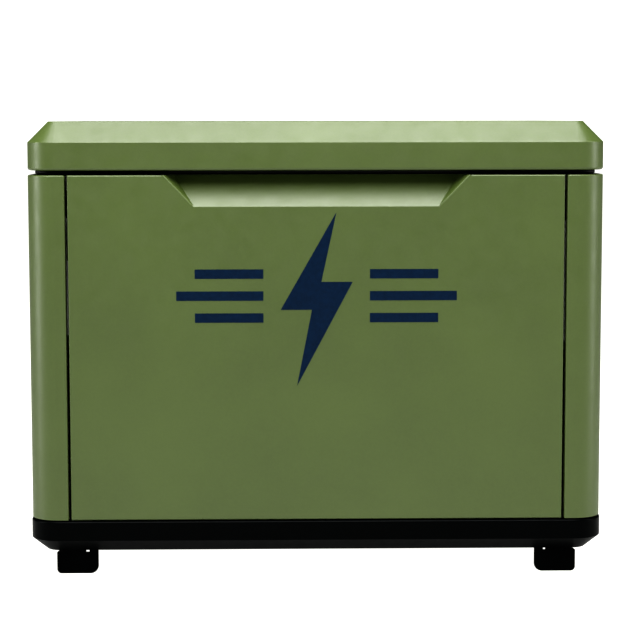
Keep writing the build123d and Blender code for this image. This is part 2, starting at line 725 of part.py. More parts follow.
def open_pivot():
    """Y and Z of the prop's pivot with the lid open."""
    turn = radians(LID_OPEN)
    dy, dz = PROP_Y - hinge_y, prop_z - hinge_z
    return (hinge_y + cos(turn) * dy + sin(turn) * dz, hinge_z - sin(turn) * dy + cos(turn) * dz)


def prop_rest():
    """Y and Z of the prop's tip in its cup when the lid is open."""
    return (open_pivot()[0] - PROP_LEAN, body_z1 + PROP_R)


def prop_length():
    """From the prop's pivot to the middle of its bent tip."""
    return hypot(PROP_LEAN, open_pivot()[1] - prop_rest()[1])


def lid_prop():
    """A round prop with an eye at its pivot and a bent tip, stowed along the lid's left side."""
    x = -prop_x
    tip_y = PROP_Y + prop_length()
    eye = bar_x(x - 4, x + 4, PROP_Y, prop_z, PROP_EYE_R)
    eye -= bar_x(x - 5, x + 5, PROP_Y, prop_z, PROP_PIN_R + RUNNING)
    bore = bar_x(x - 5, x + 5, PROP_Y, prop_z, PROP_PIN_R + RUNNING)
    arm = rod((x, PROP_Y + PROP_EYE_R - 2, prop_z), (x, tip_y, prop_z), PROP_R)
    tip = bar_x(-hem_x + 1.5, x, tip_y, prop_z, PROP_R)
    elbow = Pos(x, tip_y, prop_z) * Sphere(PROP_R)
    return eye + (arm - bore) + tip + elbow


def lid_brackets():
    """The prop's pivot and clip and the two lock hooks, all fixed to the lid's hem."""
    top = lid_z0 + LID_SHEET
    wall = 3.0
    out = -half_w + LID_SHEET + 6
    plane = -prop_x - PROP_R - 2.5
    pivot = block(out, plane, PROP_Y - 15, PROP_Y + 15, top, top + wall)
    pivot += block(plane - wall, plane, PROP_Y - 15, PROP_Y + 15, top, prop_z + 12)
    pivot += bar_x(plane - wall, -prop_x + 6, PROP_Y, prop_z, PROP_PIN_R)
    clip_y = PROP_Y + prop_length() * CLIP_SHARE
    roof = prop_z + PROP_R + PROP_CLEAR
    grip = PROP_R + PROP_CLEAR
    x = -prop_x
    clip = block(x - grip - wall, x + grip + wall, clip_y - 10, clip_y + 10, prop_z - 3, roof + wall)
    clip -= block(x - grip, x + grip, clip_y - 11, clip_y + 11, prop_z - 4, roof)
    clip += block(out, x - grip - wall + 1, clip_y - 10, clip_y + 10, roof, roof + wall)
    clip += block(out, out + wall, clip_y - 10, clip_y + 10, top, roof + wall)
    hook = lock_hook()
    return group(pivot, clip, hook, mirror(hook, about=Plane.YZ))


def lock_hook():
    """The left lock's hook: a strip down from the hem with a foot that the cam turns over."""
    top = lid_z0 + LID_SHEET
    x0, x1 = -hook_x, -hook_x + CAM_T
    strip = (LOCK_Y + CAM_REACH + 5, LOCK_Y + CAM_REACH + 17)
    hook = block(-half_w + LID_SHEET + 6, x1, strip[0], strip[1], top, top + CAM_T)
    hook += block(x0, x1, strip[0], strip[1], lock_z - 22, top + CAM_T)
    hook += block(x0, x1, LOCK_Y + CAM_W / 2 + 8, strip[1], lock_z - 22, lock_z - 10)
    return hook


def lock_housing():
    """The left lock's fixed barrel, flange and nut."""
    inner = -hook_x - 0.4
    shape = bar_x(-half_w - 3, -half_w, LOCK_Y, lock_z, LOCK_FLANGE_R)
    shape = fillet(edges_where(shape, lambda c, e: c.X < -half_w - 2), 1.5)
    shape += bar_x(-half_w, inner, LOCK_Y, lock_z, LOCK_BARREL_R)
    nut = Plane(origin=(-half_w + SHEET, LOCK_Y, lock_z), z_dir=(1, 0, 0)) * extrude(
        RegularPolygon(LOCK_BARREL_R + 5, 6), 6)
    shape += nut
    shape -= bar_x(-half_w - 5, inner + 1, LOCK_Y, lock_z, LOCK_PLUG_R + RUNNING)
    return shape


def lock_cam():
    """The left lock's plug and the cam on its inner end, shown unlocked, pointing up."""
    plug = bar_x(-half_w - 2.5, -hook_x + CAM_T + 3, LOCK_Y, lock_z, LOCK_PLUG_R)
    plug -= block(-half_w - 3, -half_w + 4, LOCK_Y - 4.5, LOCK_Y + 4.5, lock_z - 1, lock_z + 1)
    cam = block(-hook_x, -hook_x + CAM_T, LOCK_Y - CAM_W / 2, LOCK_Y + CAM_W / 2,
                lock_z - CAM_W / 2, lock_z + CAM_REACH)
    cam = fillet(edges_where(cam, lambda c, e: abs(c.Y - LOCK_Y) > CAM_W / 2 - TOL
                             and abs(c.Z - lock_z - CAM_REACH / 2 + CAM_W / 4) > CAM_REACH / 2
                             and abs(c.X + hook_x - CAM_T / 2) < TOL), 3.0)
    return plug + cam


def hinge_spans():
    """X spans of the knuckles from the middle of a hinge: outer pair and inner one."""
    outer = HINGE_LEN / 4
    return outer, HINGE_LEN / 2


def hinge_body_leaf():
    """The lower leaf of a hinge, with the two outer knuckles."""
    inner, end = hinge_spans()
    z0 = body_z1 - HINGE_LEAF_H
    leaf = block(-end, end, half_d, half_d + HINGE_T, z0, hinge_z - KNUCKLE_R - 1)
    for x0, x1 in ((-end, -inner), (inner, end)):
        leaf += block(x0, x1, half_d, half_d + HINGE_T, z0, hinge_z)
        leaf += bar_x(x0, x1, hinge_y, hinge_z, KNUCKLE_R)
    for x in (-end * 0.6, end * 0.6):
        leaf -= rod((x, half_d - 1, z0 + 14), (x, half_d + 5, z0 + 14), 3.0)
    return leaf - bar_x(-end - 1, end + 1, hinge_y, hinge_z, HINGE_PIN_R + RUNNING)


def hinge_lid_leaf():
    """The upper leaf of a hinge, with the middle knuckle."""
    inner, end = hinge_spans()
    inner -= 0.5
    z1 = lid_z0 + HINGE_LEAF_H
    leaf = block(-end, end, half_d, half_d + HINGE_T, hinge_z + KNUCKLE_R + 1, z1)
    leaf += block(-inner, inner, half_d, half_d + HINGE_T, hinge_z, z1)
    leaf += bar_x(-inner, inner, hinge_y, hinge_z, KNUCKLE_R)
    for x in (-end * 0.6, end * 0.6):
        leaf -= rod((x, half_d - 1, z1 - 14), (x, half_d + 5, z1 - 14), 3.0)
    return leaf - bar_x(-end - 1, end + 1, hinge_y, hinge_z, HINGE_PIN_R + RUNNING)


def hinge_pin():
    """A hinge's pin."""
    end = hinge_spans()[1]
    pin = bar_x(-end - 2, end + 2, hinge_y, hinge_z, HINGE_PIN_R)
    return pin + bar_x(end + 0.5, end + 3, hinge_y, hinge_z, HINGE_PIN_R + 1.5)


def at_hinges(shape):
    """A hinge piece at both hinges."""
    return group(Pos(-HINGE_X, 0, 0) * shape, Pos(HINGE_X, 0, 0) * shape)


# ------------------------------------------------------------------------------ power train
def vibration_mounts():
    """Four rubber mounts with steel washers, between the tray's pads and the cradle."""
    mounts = []
    for x in MOUNT_X:
        for y in (-MOUNT_Y, MOUNT_Y):
            mount = rod((x, y, pad_top), (x, y, CRADLE_Z), 24)
            waist_z = (pad_top + CRADLE_Z) / 2
            ring = Pos(x, y, waist_z) * Torus(28, 9)
            mounts.append(mount - ring)
    return group(*mounts)


def engine_cradle():
    """The welded cradle under the engine and the alternator."""
    x0, x1 = MOUNT_X[0] - 40, MOUNT_X[1] + 40
    cradle = block(x0, x1, -MOUNT_Y - 24, -MOUNT_Y + 24, CRADLE_Z, cradle_top)
    cradle += block(x0, x1, MOUNT_Y - 24, MOUNT_Y + 24, CRADLE_Z, cradle_top)
    for x in (MOUNT_X[0], -30.0, MOUNT_X[1] - 50):
        cradle += block(x - 28, x + 28, -MOUNT_Y, MOUNT_Y, CRADLE_Z, cradle_top)
    for x in MOUNT_X:
        for y in (-MOUNT_Y, MOUNT_Y):
            cradle += Pos(x, y, cradle_top) * extrude(RegularPolygon(11, 6), 8)
    return cradle


def bank(shape, index):
    """A shape built along +Z from the crank's axis, turned to the front (0) or back (1) bank."""
    turn = BANK_ANGLE if index == 0 else -BANK_ANGLE
    return Pos(BANK_X[index], 0, CRANK_Z) * Rot(X=turn) * shape


def crankcase():
    """The crankcase: a sump, a round case, two decks, main bearing bores and a hollow inside."""
    x0, x1 = CASE_X
    case = block(x0, x1, -CASE_R + 12, CASE_R - 12, cradle_top, CRANK_Z)
    case += bar_x(x0, x1, 0, CRANK_Z, CASE_R)
    for i in (0, 1):
        case += bank(block(-54, 54, -54, 54, CASE_R * 0.6, DECK), i)
    case += block(x0, x1, -CASE_R - 12, CASE_R + 12, cradle_top, cradle_top + 12)
    case -= bar_x(x0 + CASE_WALL, x1 - CASE_WALL, 0, CRANK_Z, CASE_R - CASE_WALL)
    case -= block(x0 + CASE_WALL, x1 - CASE_WALL, -CASE_R + 22, CASE_R - 22,
                  cradle_top + CASE_WALL, CRANK_Z)
    for i in (0, 1):
        case -= bank(rod((0, 0, CASE_R * 0.5), (0, 0, DECK + 1), 40), i)
    case -= bar_x(x0 - 1, x1 + 1, 0, CRANK_Z, JOURNAL_R + RUNNING)
    return case


def finned_cylinder():
    """A finned barrel and head, along +Z, with its bore open at the crankcase."""
    shape = block(-54, 54, -54, 54, DECK, DECK + 6)
    shape += rod((0, 0, DECK), (0, 0, BARREL_TOP), 50)
    count = int((BARREL_TOP - DECK - 8) // FIN_PITCH)
    fin = extrude(RectangleRounded(116, 108, 18), FIN_T)
    for i in range(count):
        shape += Pos(0, 0, DECK + 12 + i * FIN_PITCH) * fin
    head = extrude(RectangleRounded(96, 88, 10), HEAD_TOP - BARREL_TOP)
    shape += Pos(0, 0, BARREL_TOP) * head
    for i in range(3):
        shape += Pos(0, 0, BARREL_TOP + 2 + i * (FIN_PITCH + 2)) * extrude(
            RectangleRounded(118, 108, 16), FIN_T + 1)
    return shape - rod((0, 0, DECK - 1), (0, 0, BARREL_TOP - 4), 39)


def rocker_cover():
    """A rocker cover along +Z."""
    cover = extrude(RectangleRounded(94, 84, 14), ROCKER_TOP - HEAD_TOP)
    cover = Pos(0, 0, HEAD_TOP) * cover
    cover = fillet(edges_where(cover, lambda c, e: c.Z > ROCKER_TOP - TOL), 8)
    return cover + Pos(0, 0, HEAD_TOP) * extrude(RectangleRounded(104, 94, 14), 5)


def crankshaft():
    """The crankshaft: two journals, two webs and the crankpin between them."""
    web_x = (sum(CASE_X) / 2 - 44, sum(CASE_X) / 2 + 26)
    shaft = bar_x(ALT_X[1], web_x[0] + 18, 0, CRANK_Z, JOURNAL_R)
    shaft += bar_x(web_x[1], BLOWER_X[0] + 4, 0, CRANK_Z, JOURNAL_R)
    shaft += bar_x(BLOWER_X[0] + 4, BLOWER_X[1] - 18, 0, CRANK_Z, 20)
    for x in web_x:
        shaft += bar_x(x, x + 18, 0, CRANK_Z, 62)
    return shaft + bar_x(web_x[0], web_x[1] + 18, 0, CRANK_Z + 34, 20)


def flywheel_fan():
    """The flywheel with its ring of fan blades, hub and nut."""
    x0 = BLOWER_X[0] + BLOWER_T + 5
    fan = bar_x(x0, x0 + 10, 0, CRANK_Z, FAN_R)
    fan += bar_x(x0 - 1, x0 + 42, 0, CRANK_Z, 34)
    blade = block(x0 + 9, x0 + 42, -1.5, 1.5, 62, FAN_R - 4)
    for i in range(18):
        fan += Pos(0, 0, CRANK_Z) * Rot(X=20 * i) * blade
    fan -= bar_x(x0 - 5, BLOWER_X[1], 0, CRANK_Z, 20)
    end_x = BLOWER_X[1] - 18
    nut = Plane(origin=(end_x, 0, CRANK_Z), z_dir=(1, 0, 0)) * extrude(RegularPolygon(24, 6), 10)
    return group(fan, nut)


def blower_form(grow, x0, x1):
    """The blower housing's outline between two values of X, grown on every side."""
    solid = bar_x(x0, x1, 0, CRANK_Z, BLOWER_R + grow)
    roof = blower_roof + grow
    return solid + block(x0, x1, -BLOWER_HALF_Y - grow, BLOWER_HALF_Y + grow, CRANK_Z, roof)


def blower_housing():
    """The housing round the flywheel fan, with a guarded inlet and outlets to the cylinders."""
    x0, x1 = BLOWER_X
    t = BLOWER_T
    housing = blower_form(0, x0, x1) - blower_form(-t, x0 + t, x1 - t)
    housing -= bar_x(x1 - t - 1, x1 + 1, 0, CRANK_Z, 96)
    for radius in (32, 54, 76):
        housing += tube((x1 - t, 0, CRANK_Z), (x1, 0, CRANK_Z), radius + 1.5, radius - 1.5)
    for i in range(4):
        spoke = block(x1 - t, x1, -98, 98, -1.5, 1.5)
        housing += Pos(0, 0, CRANK_Z) * Rot(X=45 * i) * spoke
    housing -= bar_x(x0 - 1, x0 + t + 1, 0, CRANK_Z, JOURNAL_R + 8)
    for side in (-1, 1):
        housing -= block(x0 - 1, x0 + t + 1, min(side * 30, side * 104), max(side * 30, side * 104),
                         CRANK_Z + BLOWER_HALF_Y, blower_roof - 10)
    return housing


def alternator_casing():
    """The alternator's ribbed casing, adapter and foot, bolted to the crankcase."""
    x0, x1 = ALT_X
    casing = bar_x(x0, CASE_X[0], 0, CRANK_Z, ALT_R)
    for i in range(24):
        rib = block(x0 + 12, x1 - 12, -2.5, 2.5, ALT_R - 2, ALT_R + 5)
        casing += Pos(0, 0, CRANK_Z) * Rot(X=15 * i) * rib
    casing += block(x0 + 14, x0 + 74, -86, 86, cradle_top, CRANK_Z - 60)
    casing -= bar_x(x0 + ALT_WALL, x1, 0, CRANK_Z, ALT_R - ALT_WALL)
    casing -= bar_x(x0 - 1, x0 + ALT_WALL + 1, 0, CRANK_Z, 14 + RUNNING)
    casing -= bar_x(x1 - 1, CASE_X[0] + 1, 0, CRANK_Z, JOURNAL_R + 8)
    for i in range(8):
        slot = block(x0 - 1, x0 + ALT_WALL + 1, -14, 14, 42, 96)
        casing -= Pos(0, 0, CRANK_Z) * Rot(X=45 * i) * slot
    return casing


def alternator_stator():
    """The stator's laminated core and its two winding rings, pressed into the casing."""
    x0, x1 = STATOR_X
    centre = (0, CRANK_Z)
    core = tube((x0, *centre), (x1, *centre), ALT_R - ALT_WALL, STATOR_BORE_R)
    for xa, xb in ((x0 - 22, x0), (x1, x1 + 18)):
        core += tube((xa, *centre), (xb, *centre), ALT_R - ALT_WALL - 9, STATOR_BORE_R + 6)
    return core


def alternator_rotor():
    """The rotor on its shaft, with the cooling fan beside it."""
    x0, x1 = STATOR_X
    rotor = bar_x(x0 + 4, x1 - 4, 0, CRANK_Z, STATOR_BORE_R - AIR_GAP)
    rotor += bar_x(ALT_X[0] - 14, x0 + 5, 0, CRANK_Z, 14)
    rotor += bar_x(x1 - 5, ALT_X[1], 0, CRANK_Z, 26)
    rotor += bar_x(ALT_X[1] - 12, ALT_X[1] - 8, 0, CRANK_Z, 104)
    for i in range(12):
        blade = block(ALT_X[1] - 30, ALT_X[1] - 10, -1.5, 1.5, 60, 104)
        rotor += Pos(0, 0, CRANK_Z) * Rot(X=30 * i) * blade
    return rotor


def solenoid_end():
    """The middle of the solenoid's left end."""
    return (CASE_X[0] + 84, starter_y - 30, starter_z + 46)


def starter_motor():
    """The starter, its solenoid and its mounting foot, on the front of the crankcase."""
    y, z = starter_y, starter_z
    x0, solenoid_y, solenoid_z = solenoid_end()
    starter = bar_x(CASE_X[0] + 70, CASE_X[1] - 14, y, z, STARTER_R)
    starter += bar_x(CASE_X[1] - 14, CASE_X[1] - 3, y, z, 24)
    starter += bar_x(x0, CASE_X[1] - 40, solenoid_y, solenoid_z, SOLENOID_R)
    starter += block(x0 + 6, CASE_X[1] - 46, y - 42, y - 8, z + 10, z + 40)
    starter += block(CASE_X[1] - 34, CASE_X[1] - 18, y, -CASE_R + 12, z - 22, z + 12)
    return starter - bar_x(CASE_X[0], CASE_X[1], 0, CRANK_Z, CASE_R)


def oil_filter():
    """A spin-on oil filter on the back of the crankcase."""
    y, z = CASE_R - 12, CRANK_Z - FILTER_DROP
    body = rod((FILTER_X, y + 12, z), (FILTER_X, y + 98, z), FILTER_R)
    body = fillet(edges_where(body, lambda c, e: c.Y > y + 97), 8)
    return body + rod((FILTER_X, y, z), (FILTER_X, y + 14, z), FILTER_R - 7)


def dipstick_tube():
    """The dipstick's tube, with its elbow into the sump."""
    z0 = CRANK_Z - 92
    boss = block(DIPSTICK_X - 12, DIPSTICK_X + 12, DIPSTICK_Y - 12, -CASE_R + 12, z0 - 14, z0 + 16)
    boss = fillet(edges_where(boss, lambda c, e: c.Y < DIPSTICK_Y - 11
                              and abs(c.Z - z0 - 1) < TOL), 5)
    shape = boss + rod((DIPSTICK_X, DIPSTICK_Y, z0), (DIPSTICK_X, DIPSTICK_Y, DIPSTICK_TOP), TUBE_R)
    return shape - rod((DIPSTICK_X, DIPSTICK_Y, z0 - 6),
                       (DIPSTICK_X, DIPSTICK_Y, DIPSTICK_TOP + 1), TUBE_BORE_R)


def dipstick():
    """The dipstick: a blade, a cap that closes the tube and a pull ring."""
    top = DIPSTICK_TOP
    blade = rod((DIPSTICK_X, DIPSTICK_Y, CRANK_Z - 92), (DIPSTICK_X, DIPSTICK_Y, top + 2), 2.2)
    plug = rod((DIPSTICK_X, DIPSTICK_Y, top - 14), (DIPSTICK_X, DIPSTICK_Y, top + 1), TUBE_BORE_R - 0.4)
    cap = rod((DIPSTICK_X, DIPSTICK_Y, top + 0.5), (DIPSTICK_X, DIPSTICK_Y, top + 9), 11)
    ring = Pos(DIPSTICK_X, DIPSTICK_Y, top + 20) * Rot(X=90) * Torus(13, 3)
    return blade + plug + cap + ring


def intake_manifold():
    """The gas mixer and the two arms to the cylinder heads."""
    body = rod((MIX_X, 0, MIX_Z - 46), (MIX_X, 0, AIR_Z), MIX_R)
    body += rod((MIX_X, 0, AIR_Z - 8), (MIX_X, 0, AIR_Z), 40)
    body += rod((MIX_X, 0, MIX_Z), (MIX_X - 46, 0, MIX_Z), 14)
    for side in (-1, 1):
        body += rod((MIX_X, 0, MIX_Z - 24), (MIX_X, side * 118, MIX_Z), ARM_R)
    heads = [bank(finned_cylinder(), i) for i in (0, 1)]
    for head in heads:
        body -= head
    return body.solids().sort_by(SortBy.VOLUME)[-1]


def air_cleaner():
    """The air cleaner: a base pan, a domed cover and its knob."""
    x0, x1 = MIX_X - 105, MIX_X + 95
    y1 = AIR_HALF_Y
    cover_z = AIR_Z + AIR_BASE_H
    lid_top = cover_z + AIR_COVER_H
    base = block(x0, x1, -y1, y1, AIR_Z, cover_z)
    base = fillet(base.edges().filter_by(Axis.Z), 24)
    cover = block(x0 + 4, x1 - 4, -y1 + 4, y1 - 4, cover_z, lid_top)
    cover = fillet(cover.edges().filter_by(Axis.Z), 22)
    cover = fillet(edges_where(cover, lambda c, e: c.Z > lid_top - 1), 14)
    knob = rod((MIX_X - 5, 0, lid_top), (MIX_X - 5, 0, lid_top + 16), 16)
    for i in range(8):
        spin = radians(45 * i)
        x, y = MIX_X - 5 + 17 * cos(spin), 17 * sin(spin)
        knob -= rod((x, y, lid_top - 1), (x, y, lid_top + 17), 3)
    return group(base, cover, knob)


def muffler():
    """The muffler can, its two exhaust pipes and its tailpipe, welded into one piece."""
    x = half_w - CAN_IN
    z0, z1 = pad_top + CAN_LIFT, CRANK_Z + CAN_RISE
    can = rod((x, TAIL_Y, z0), (x, TAIL_Y, z1), CAN_R)
    can = fillet(edges_where(can, lambda c, e: True), 10)
    for z in (z0 + 60, z1 - 60):
        can += tube((x, TAIL_Y, z - 6), (x, TAIL_Y, z + 6), CAN_R + 2, CAN_R - 4)
    port = (HEAD_TOP - 26) * cos(radians(BANK_ANGLE))
    z = CRANK_Z + port + 4
    front = [(BANK_X[0] + 46, -port, z), (x, -port, z), (x, TAIL_Y - 34, z),
             (x, TAIL_Y - 34, z1 - 6)]
    back = [(BANK_X[1] + 46, port, z), (x - 62, port, z), (x - 22, TAIL_Y + 30, z),
            (x - 22, TAIL_Y + 30, z1 - 6)]
    can += swept_tube("front exhaust pipe", front, PIPE_R)
    can += swept_tube("back exhaust pipe", back, PIPE_R)
    can += bar_x(x, half_w + BASE_PROUD, TAIL_Y, TAIL_Z, TAIL_R)
    can -= bar_x(half_w - 30, half_w + 15, TAIL_Y, TAIL_Z, TAIL_R - TAIL_WALL)
    for i in (0, 1):
        can -= bank(finned_cylinder(), i)
    return can.solids().sort_by(SortBy.VOLUME)[-1]


# ------------------------------------------------------------------------------ controls
def on_face(x, along, proud=0.0):
    """A point on the control face, at x and a distance up the slope, proud of the surface."""
    tilt = radians(FACE_TILT)
    y = face_low[0] + along * cos(tilt) - proud * sin(tilt)
    z = face_low[1] + along * sin(tilt) + proud * cos(tilt)
    return (x, y, z)


def face_plane(x, along, proud=0.0):
    """A sketch plane on the control face."""
    tilt = radians(FACE_TILT)
    return Plane(origin=on_face(x, along, proud), x_dir=(1, 0, 0), z_dir=(0, -sin(tilt), cos(tilt)))


def button_x(index):
    """X of the first, second or third button."""
    return box_x0 + BUTTON_FIRST + BUTTON_STEP * index


def control_box():
    """The controller's sloping box, hung on the service rail, with wells for the buttons."""
    tilt = radians(FACE_TILT)
    back_y = SERVICE_RAIL_Y - 0.5
    top = (face_low[0] + FACE_LEN * cos(tilt), face_low[1] + FACE_LEN * sin(tilt))
    floor = ring_z1 - BOX_H
    points = [(face_low[0], floor), (back_y, floor), (back_y, top[1]), top, face_low]
    profile = Plane.YZ * Polygon(*points, align=None)
    body = Pos(box_x0, 0, 0) * extrude(profile, box_x1 - box_x0)
    body = fillet(edges_where(body, lambda c, e: abs(c.X - (box_x0 + box_x1) / 2) < TOL
                              and c.Y < back_y - 2), 5)
    screen = face_plane(box_x1 - SCREEN_IN, SCREEN_UP)
    hood = screen * extrude(RectangleRounded(SCREEN_W + 10, SCREEN_H + 10, 5), 4)
    hood -= screen * extrude(RectangleRounded(SCREEN_W, SCREEN_H, 3), 5)
    body += hood
    for i in range(3):
        collar = face_plane(button_x(i), BUTTON_UP) * extrude(Circle(BUTTON_R + 3), 3)
        body += collar
        well = Circle(BUTTON_R + BUTTON_CLEAR)
        body -= face_plane(button_x(i), BUTTON_UP, -8) * extrude(well, 12)
    body += block(box_x0 + 20, box_x0 + 60, back_y - 12, back_y, top[1] - 2,
                  ring_z1 - RING_DROP - 0.5)
    return body


def display_window():
    """The display's window, inside its raised frame."""
    width = SCREEN_W - 2 * SCREEN_CLEAR
    height = SCREEN_H - 2 * SCREEN_CLEAR
    screen = face_plane(box_x1 - SCREEN_IN, SCREEN_UP)
    return screen * extrude(RectangleRounded(width, height, 2.8), 2)


def button(index):
    """One of the three push buttons in the control face."""
    cap = face_plane(button_x(index), BUTTON_UP, -4) * extrude(Circle(BUTTON_R), 10)
    rim = [edge for edge in cap.edges() if edge.center().Z > on_face(0, BUTTON_UP, 5.5)[2]]
    return fillet(rim, 1.5)


def breaker_place():
    """X, front Y and top Z of the main breaker."""
    return (box_x1 + BREAKER_GAP, SERVICE_RAIL_Y - BREAKER_D, ring_z1 - RING_DROP - 20)


def breaker_body():
    """The main breaker's case, hung on the service rail, with a slot for its lever."""
    x, y0, z1 = breaker_place()
    half = BREAKER_HALF
    case = block(x - half, x + half, y0, SERVICE_RAIL_Y - 0.5, z1 - BREAKER_H, z1)
    case = fillet(edges_where(case, lambda c, e: abs(c.Y - y0) < TOL), 3)
    case += block(x - 20, x + 20, y0 + 12, SERVICE_RAIL_Y - 12, z1, z1 + 6)
    case -= bar_x(x - 12, x + 12, (y0 + SERVICE_RAIL_Y) / 2, z1 - 6, 13)
    case -= block(x - 9, x + 9, y0 + 18, SERVICE_RAIL_Y - 18, z1 - 6, z1 + 7)
    case += block(x - 30, x - 22, SERVICE_RAIL_Y - 8, SERVICE_RAIL_Y - 0.5, z1 - 1, z1 + 19)
    return case


def breaker_toggle():
    """The breaker's lever, on a drum that turns about X, shown leaning forwards, off."""
    x, y0, z1 = breaker_place()
    y = (y0 + SERVICE_RAIL_Y) / 2
    drum = bar_x(x - 11.5, x + 11.5, y, z1 - 6, 12.5)
    lever = block(-7, 7, -4.5, 4.5, 8, 36)
    lever = fillet(edges_where(lever, lambda c, e: c.Z > 35), 2)
    return drum + Pos(x, y, z1 - 6) * Rot(X=LEVER_LEAN) * lever


def shutdown_switch():
    """The emergency shutdown switch's body, on the inside of the back panel, and its collar."""
    z = stop_z
    inner = half_d - SHEET
    body = block(STOP_X - 24, STOP_X + 24, inner - 40, inner, z - 24, z + 24)
    body += rod((STOP_X, inner - 5, z), (STOP_X, half_d + 5, z), STOP_STEM_R + STOP_SLEEVE)
    body += rod((STOP_X, half_d, z), (STOP_X, half_d + 3, z), STOP_STEM_R + 10)
    return body - rod((STOP_X, inner - 20, z), (STOP_X, half_d + 6, z), STOP_STEM_R + HOLE_CLEAR)


def shutdown_button():
    """The red mushroom button, on its stem."""
    z = stop_z
    stem = rod((STOP_X, half_d - 12, z), (STOP_X, half_d + 12, z), STOP_STEM_R)
    head = rod((STOP_X, half_d + 11, z), (STOP_X, half_d + 22, z), STOP_HEAD_R)
    head = fillet(edges_where(head, lambda c, e: c.Y > half_d + 21), 6)
    return stem + head


# ------------------------------------------------------------------------------ battery and fuel
def terminal_places():
    """X, Y and Z of the battery's two posts."""
    x = -half_w + BATTERY_IN_X
    y = -half_d + BATTERY_IN_Y + POST_IN_Y
    z = floor_z + BATTERY_H
    return [(x + POST_IN_X, y, z), (x + BATTERY_W - POST_IN_X, y, z)]


def battery():
    """A starter battery with a lid and two posts."""
    x0, y0 = -half_w + BATTERY_IN_X, -half_d + BATTERY_IN_Y
    x1, y1 = x0 + BATTERY_W, y0 + BATTERY_D
    top = floor_z + BATTERY_H
    lid_z = top - BATTERY_LID_H
    case = block(x0, x1, y0, y1, floor_z, lid_z)
    case = fillet(case.edges().filter_by(Axis.Z), 6)
    lid = block(x0 - 3, x1 + 3, y0 - 3, y1 + 3, lid_z, top)
    case += fillet(edges_where(lid, lambda c, e: c.Z > lid_z + 1), 4)
    for px, py, pz in terminal_places():
        case += rod((px, py, pz - 2), (px, py, pz + POST_H), POST_R)
    return case


def battery_cables():
    """Two cables: the positive one to the starter's solenoid, the negative to the crankcase."""
    (x0, y0, z0), (x1, y1, _) = terminal_places()
    solenoid_x, solenoid_y, solenoid_z = solenoid_end()
    top = z0 + POST_H
    plus = [(x0, y0, top), (x0, y0, top + 37), (x0 + 40, y0 + 28, top + 49),
            (x0 + 112, y0 + 55, top + 45), (x0 + 202, y0 + 70, top + 39),
            (x0 + 292, solenoid_y - 2, solenoid_z), (solenoid_x - 54, solenoid_y, solenoid_z),
            (solenoid_x, solenoid_y, solenoid_z)]
    earth_x = CASE_X[0] + 40
    earth_z = CRANK_Z - 112
    minus = [(x1, y1, top), (x1, y1, top + 27), (x1 + 40, y1 + 25, top + 31),
             (x1 + 73, y1 + 38, top - 6), (x1 + 108, y1 + 45, top - 56),
             (x1 + 188, y1 + 55, earth_z - 3), (earth_x, y1 + 80, earth_z),
             (earth_x, -CASE_R + 12, earth_z)]
    return group(swept_tube("positive cable", plus, CABLE_R),
                 swept_tube("negative cable", minus, CABLE_R))


def gas_regulator():
    """The fuel regulator: a round diaphragm body on a block, on the back panel's fuel inlet."""
    body = rod((FUEL_X, REG_Y, FUEL_Z), (FUEL_X, REG_Y + 16, FUEL_Z), REG_R)
    body += rod((FUEL_X, REG_Y - 14, FUEL_Z), (FUEL_X, REG_Y + 34, FUEL_Z), REG_R - 12)
    body = fillet(edges_where(body, lambda c, e: c.Y < REG_Y - 13), 6)
    body += block(FUEL_X - 24, FUEL_X + 24, REG_Y + 30, REG_Y + 72, FUEL_Z - 24, FUEL_Z + 24)
    for i in range(6):
        spin = radians(60 * i)
        x, z = FUEL_X + (REG_R - 6) * cos(spin), FUEL_Z + (REG_R - 6) * sin(spin)
        body += rod((x, REG_Y - 4, z), (x, REG_Y + 20, z), 4)
    body += rod((FUEL_X, REG_Y + 50, FUEL_Z + 20), (FUEL_X, REG_Y + 50, FUEL_Z + 48), HOSE_R - 2)
    return body


def fuel_inlet():
    """The brass fuel inlet through the back panel, with a hexagon and a threaded mouth."""
    y0, y1 = REG_Y + 72, half_d + 26
    hexagon = Plane(origin=(FUEL_X, half_d, FUEL_Z), z_dir=(0, 1, 0)) * extrude(
        RegularPolygon(21, 6), 12)
    shape = rod((FUEL_X, y0, FUEL_Z), (FUEL_X, y1, FUEL_Z), FUEL_R) + hexagon
    shape += rod((FUEL_X, half_d - SHEET - 8, FUEL_Z), (FUEL_X, half_d - SHEET, FUEL_Z), 21)
    return shape - rod((FUEL_X, y0 - 1, FUEL_Z), (FUEL_X, y1 + 1, FUEL_Z), FUEL_BORE_R)


def gas_hose():
    """The hose from the regulator to the mixer."""
    y, z = REG_Y + 50, FUEL_Z + 48
    end = (MIX_X - 46, 0.0, MIX_Z)
    points = [(FUEL_X, y, z), (FUEL_X, y, z + 57), (FUEL_X + 4, y - 51, z + 87),
              (FUEL_X + 16, y - 121, z + 72), (FUEL_X + 28, y - 191, z + 27),
              (FUEL_X + 46, y - 251, z - 18), (FUEL_X + 90, 0.0, MIX_Z), end]
    return swept_tube("gas hose", points, HOSE_R)


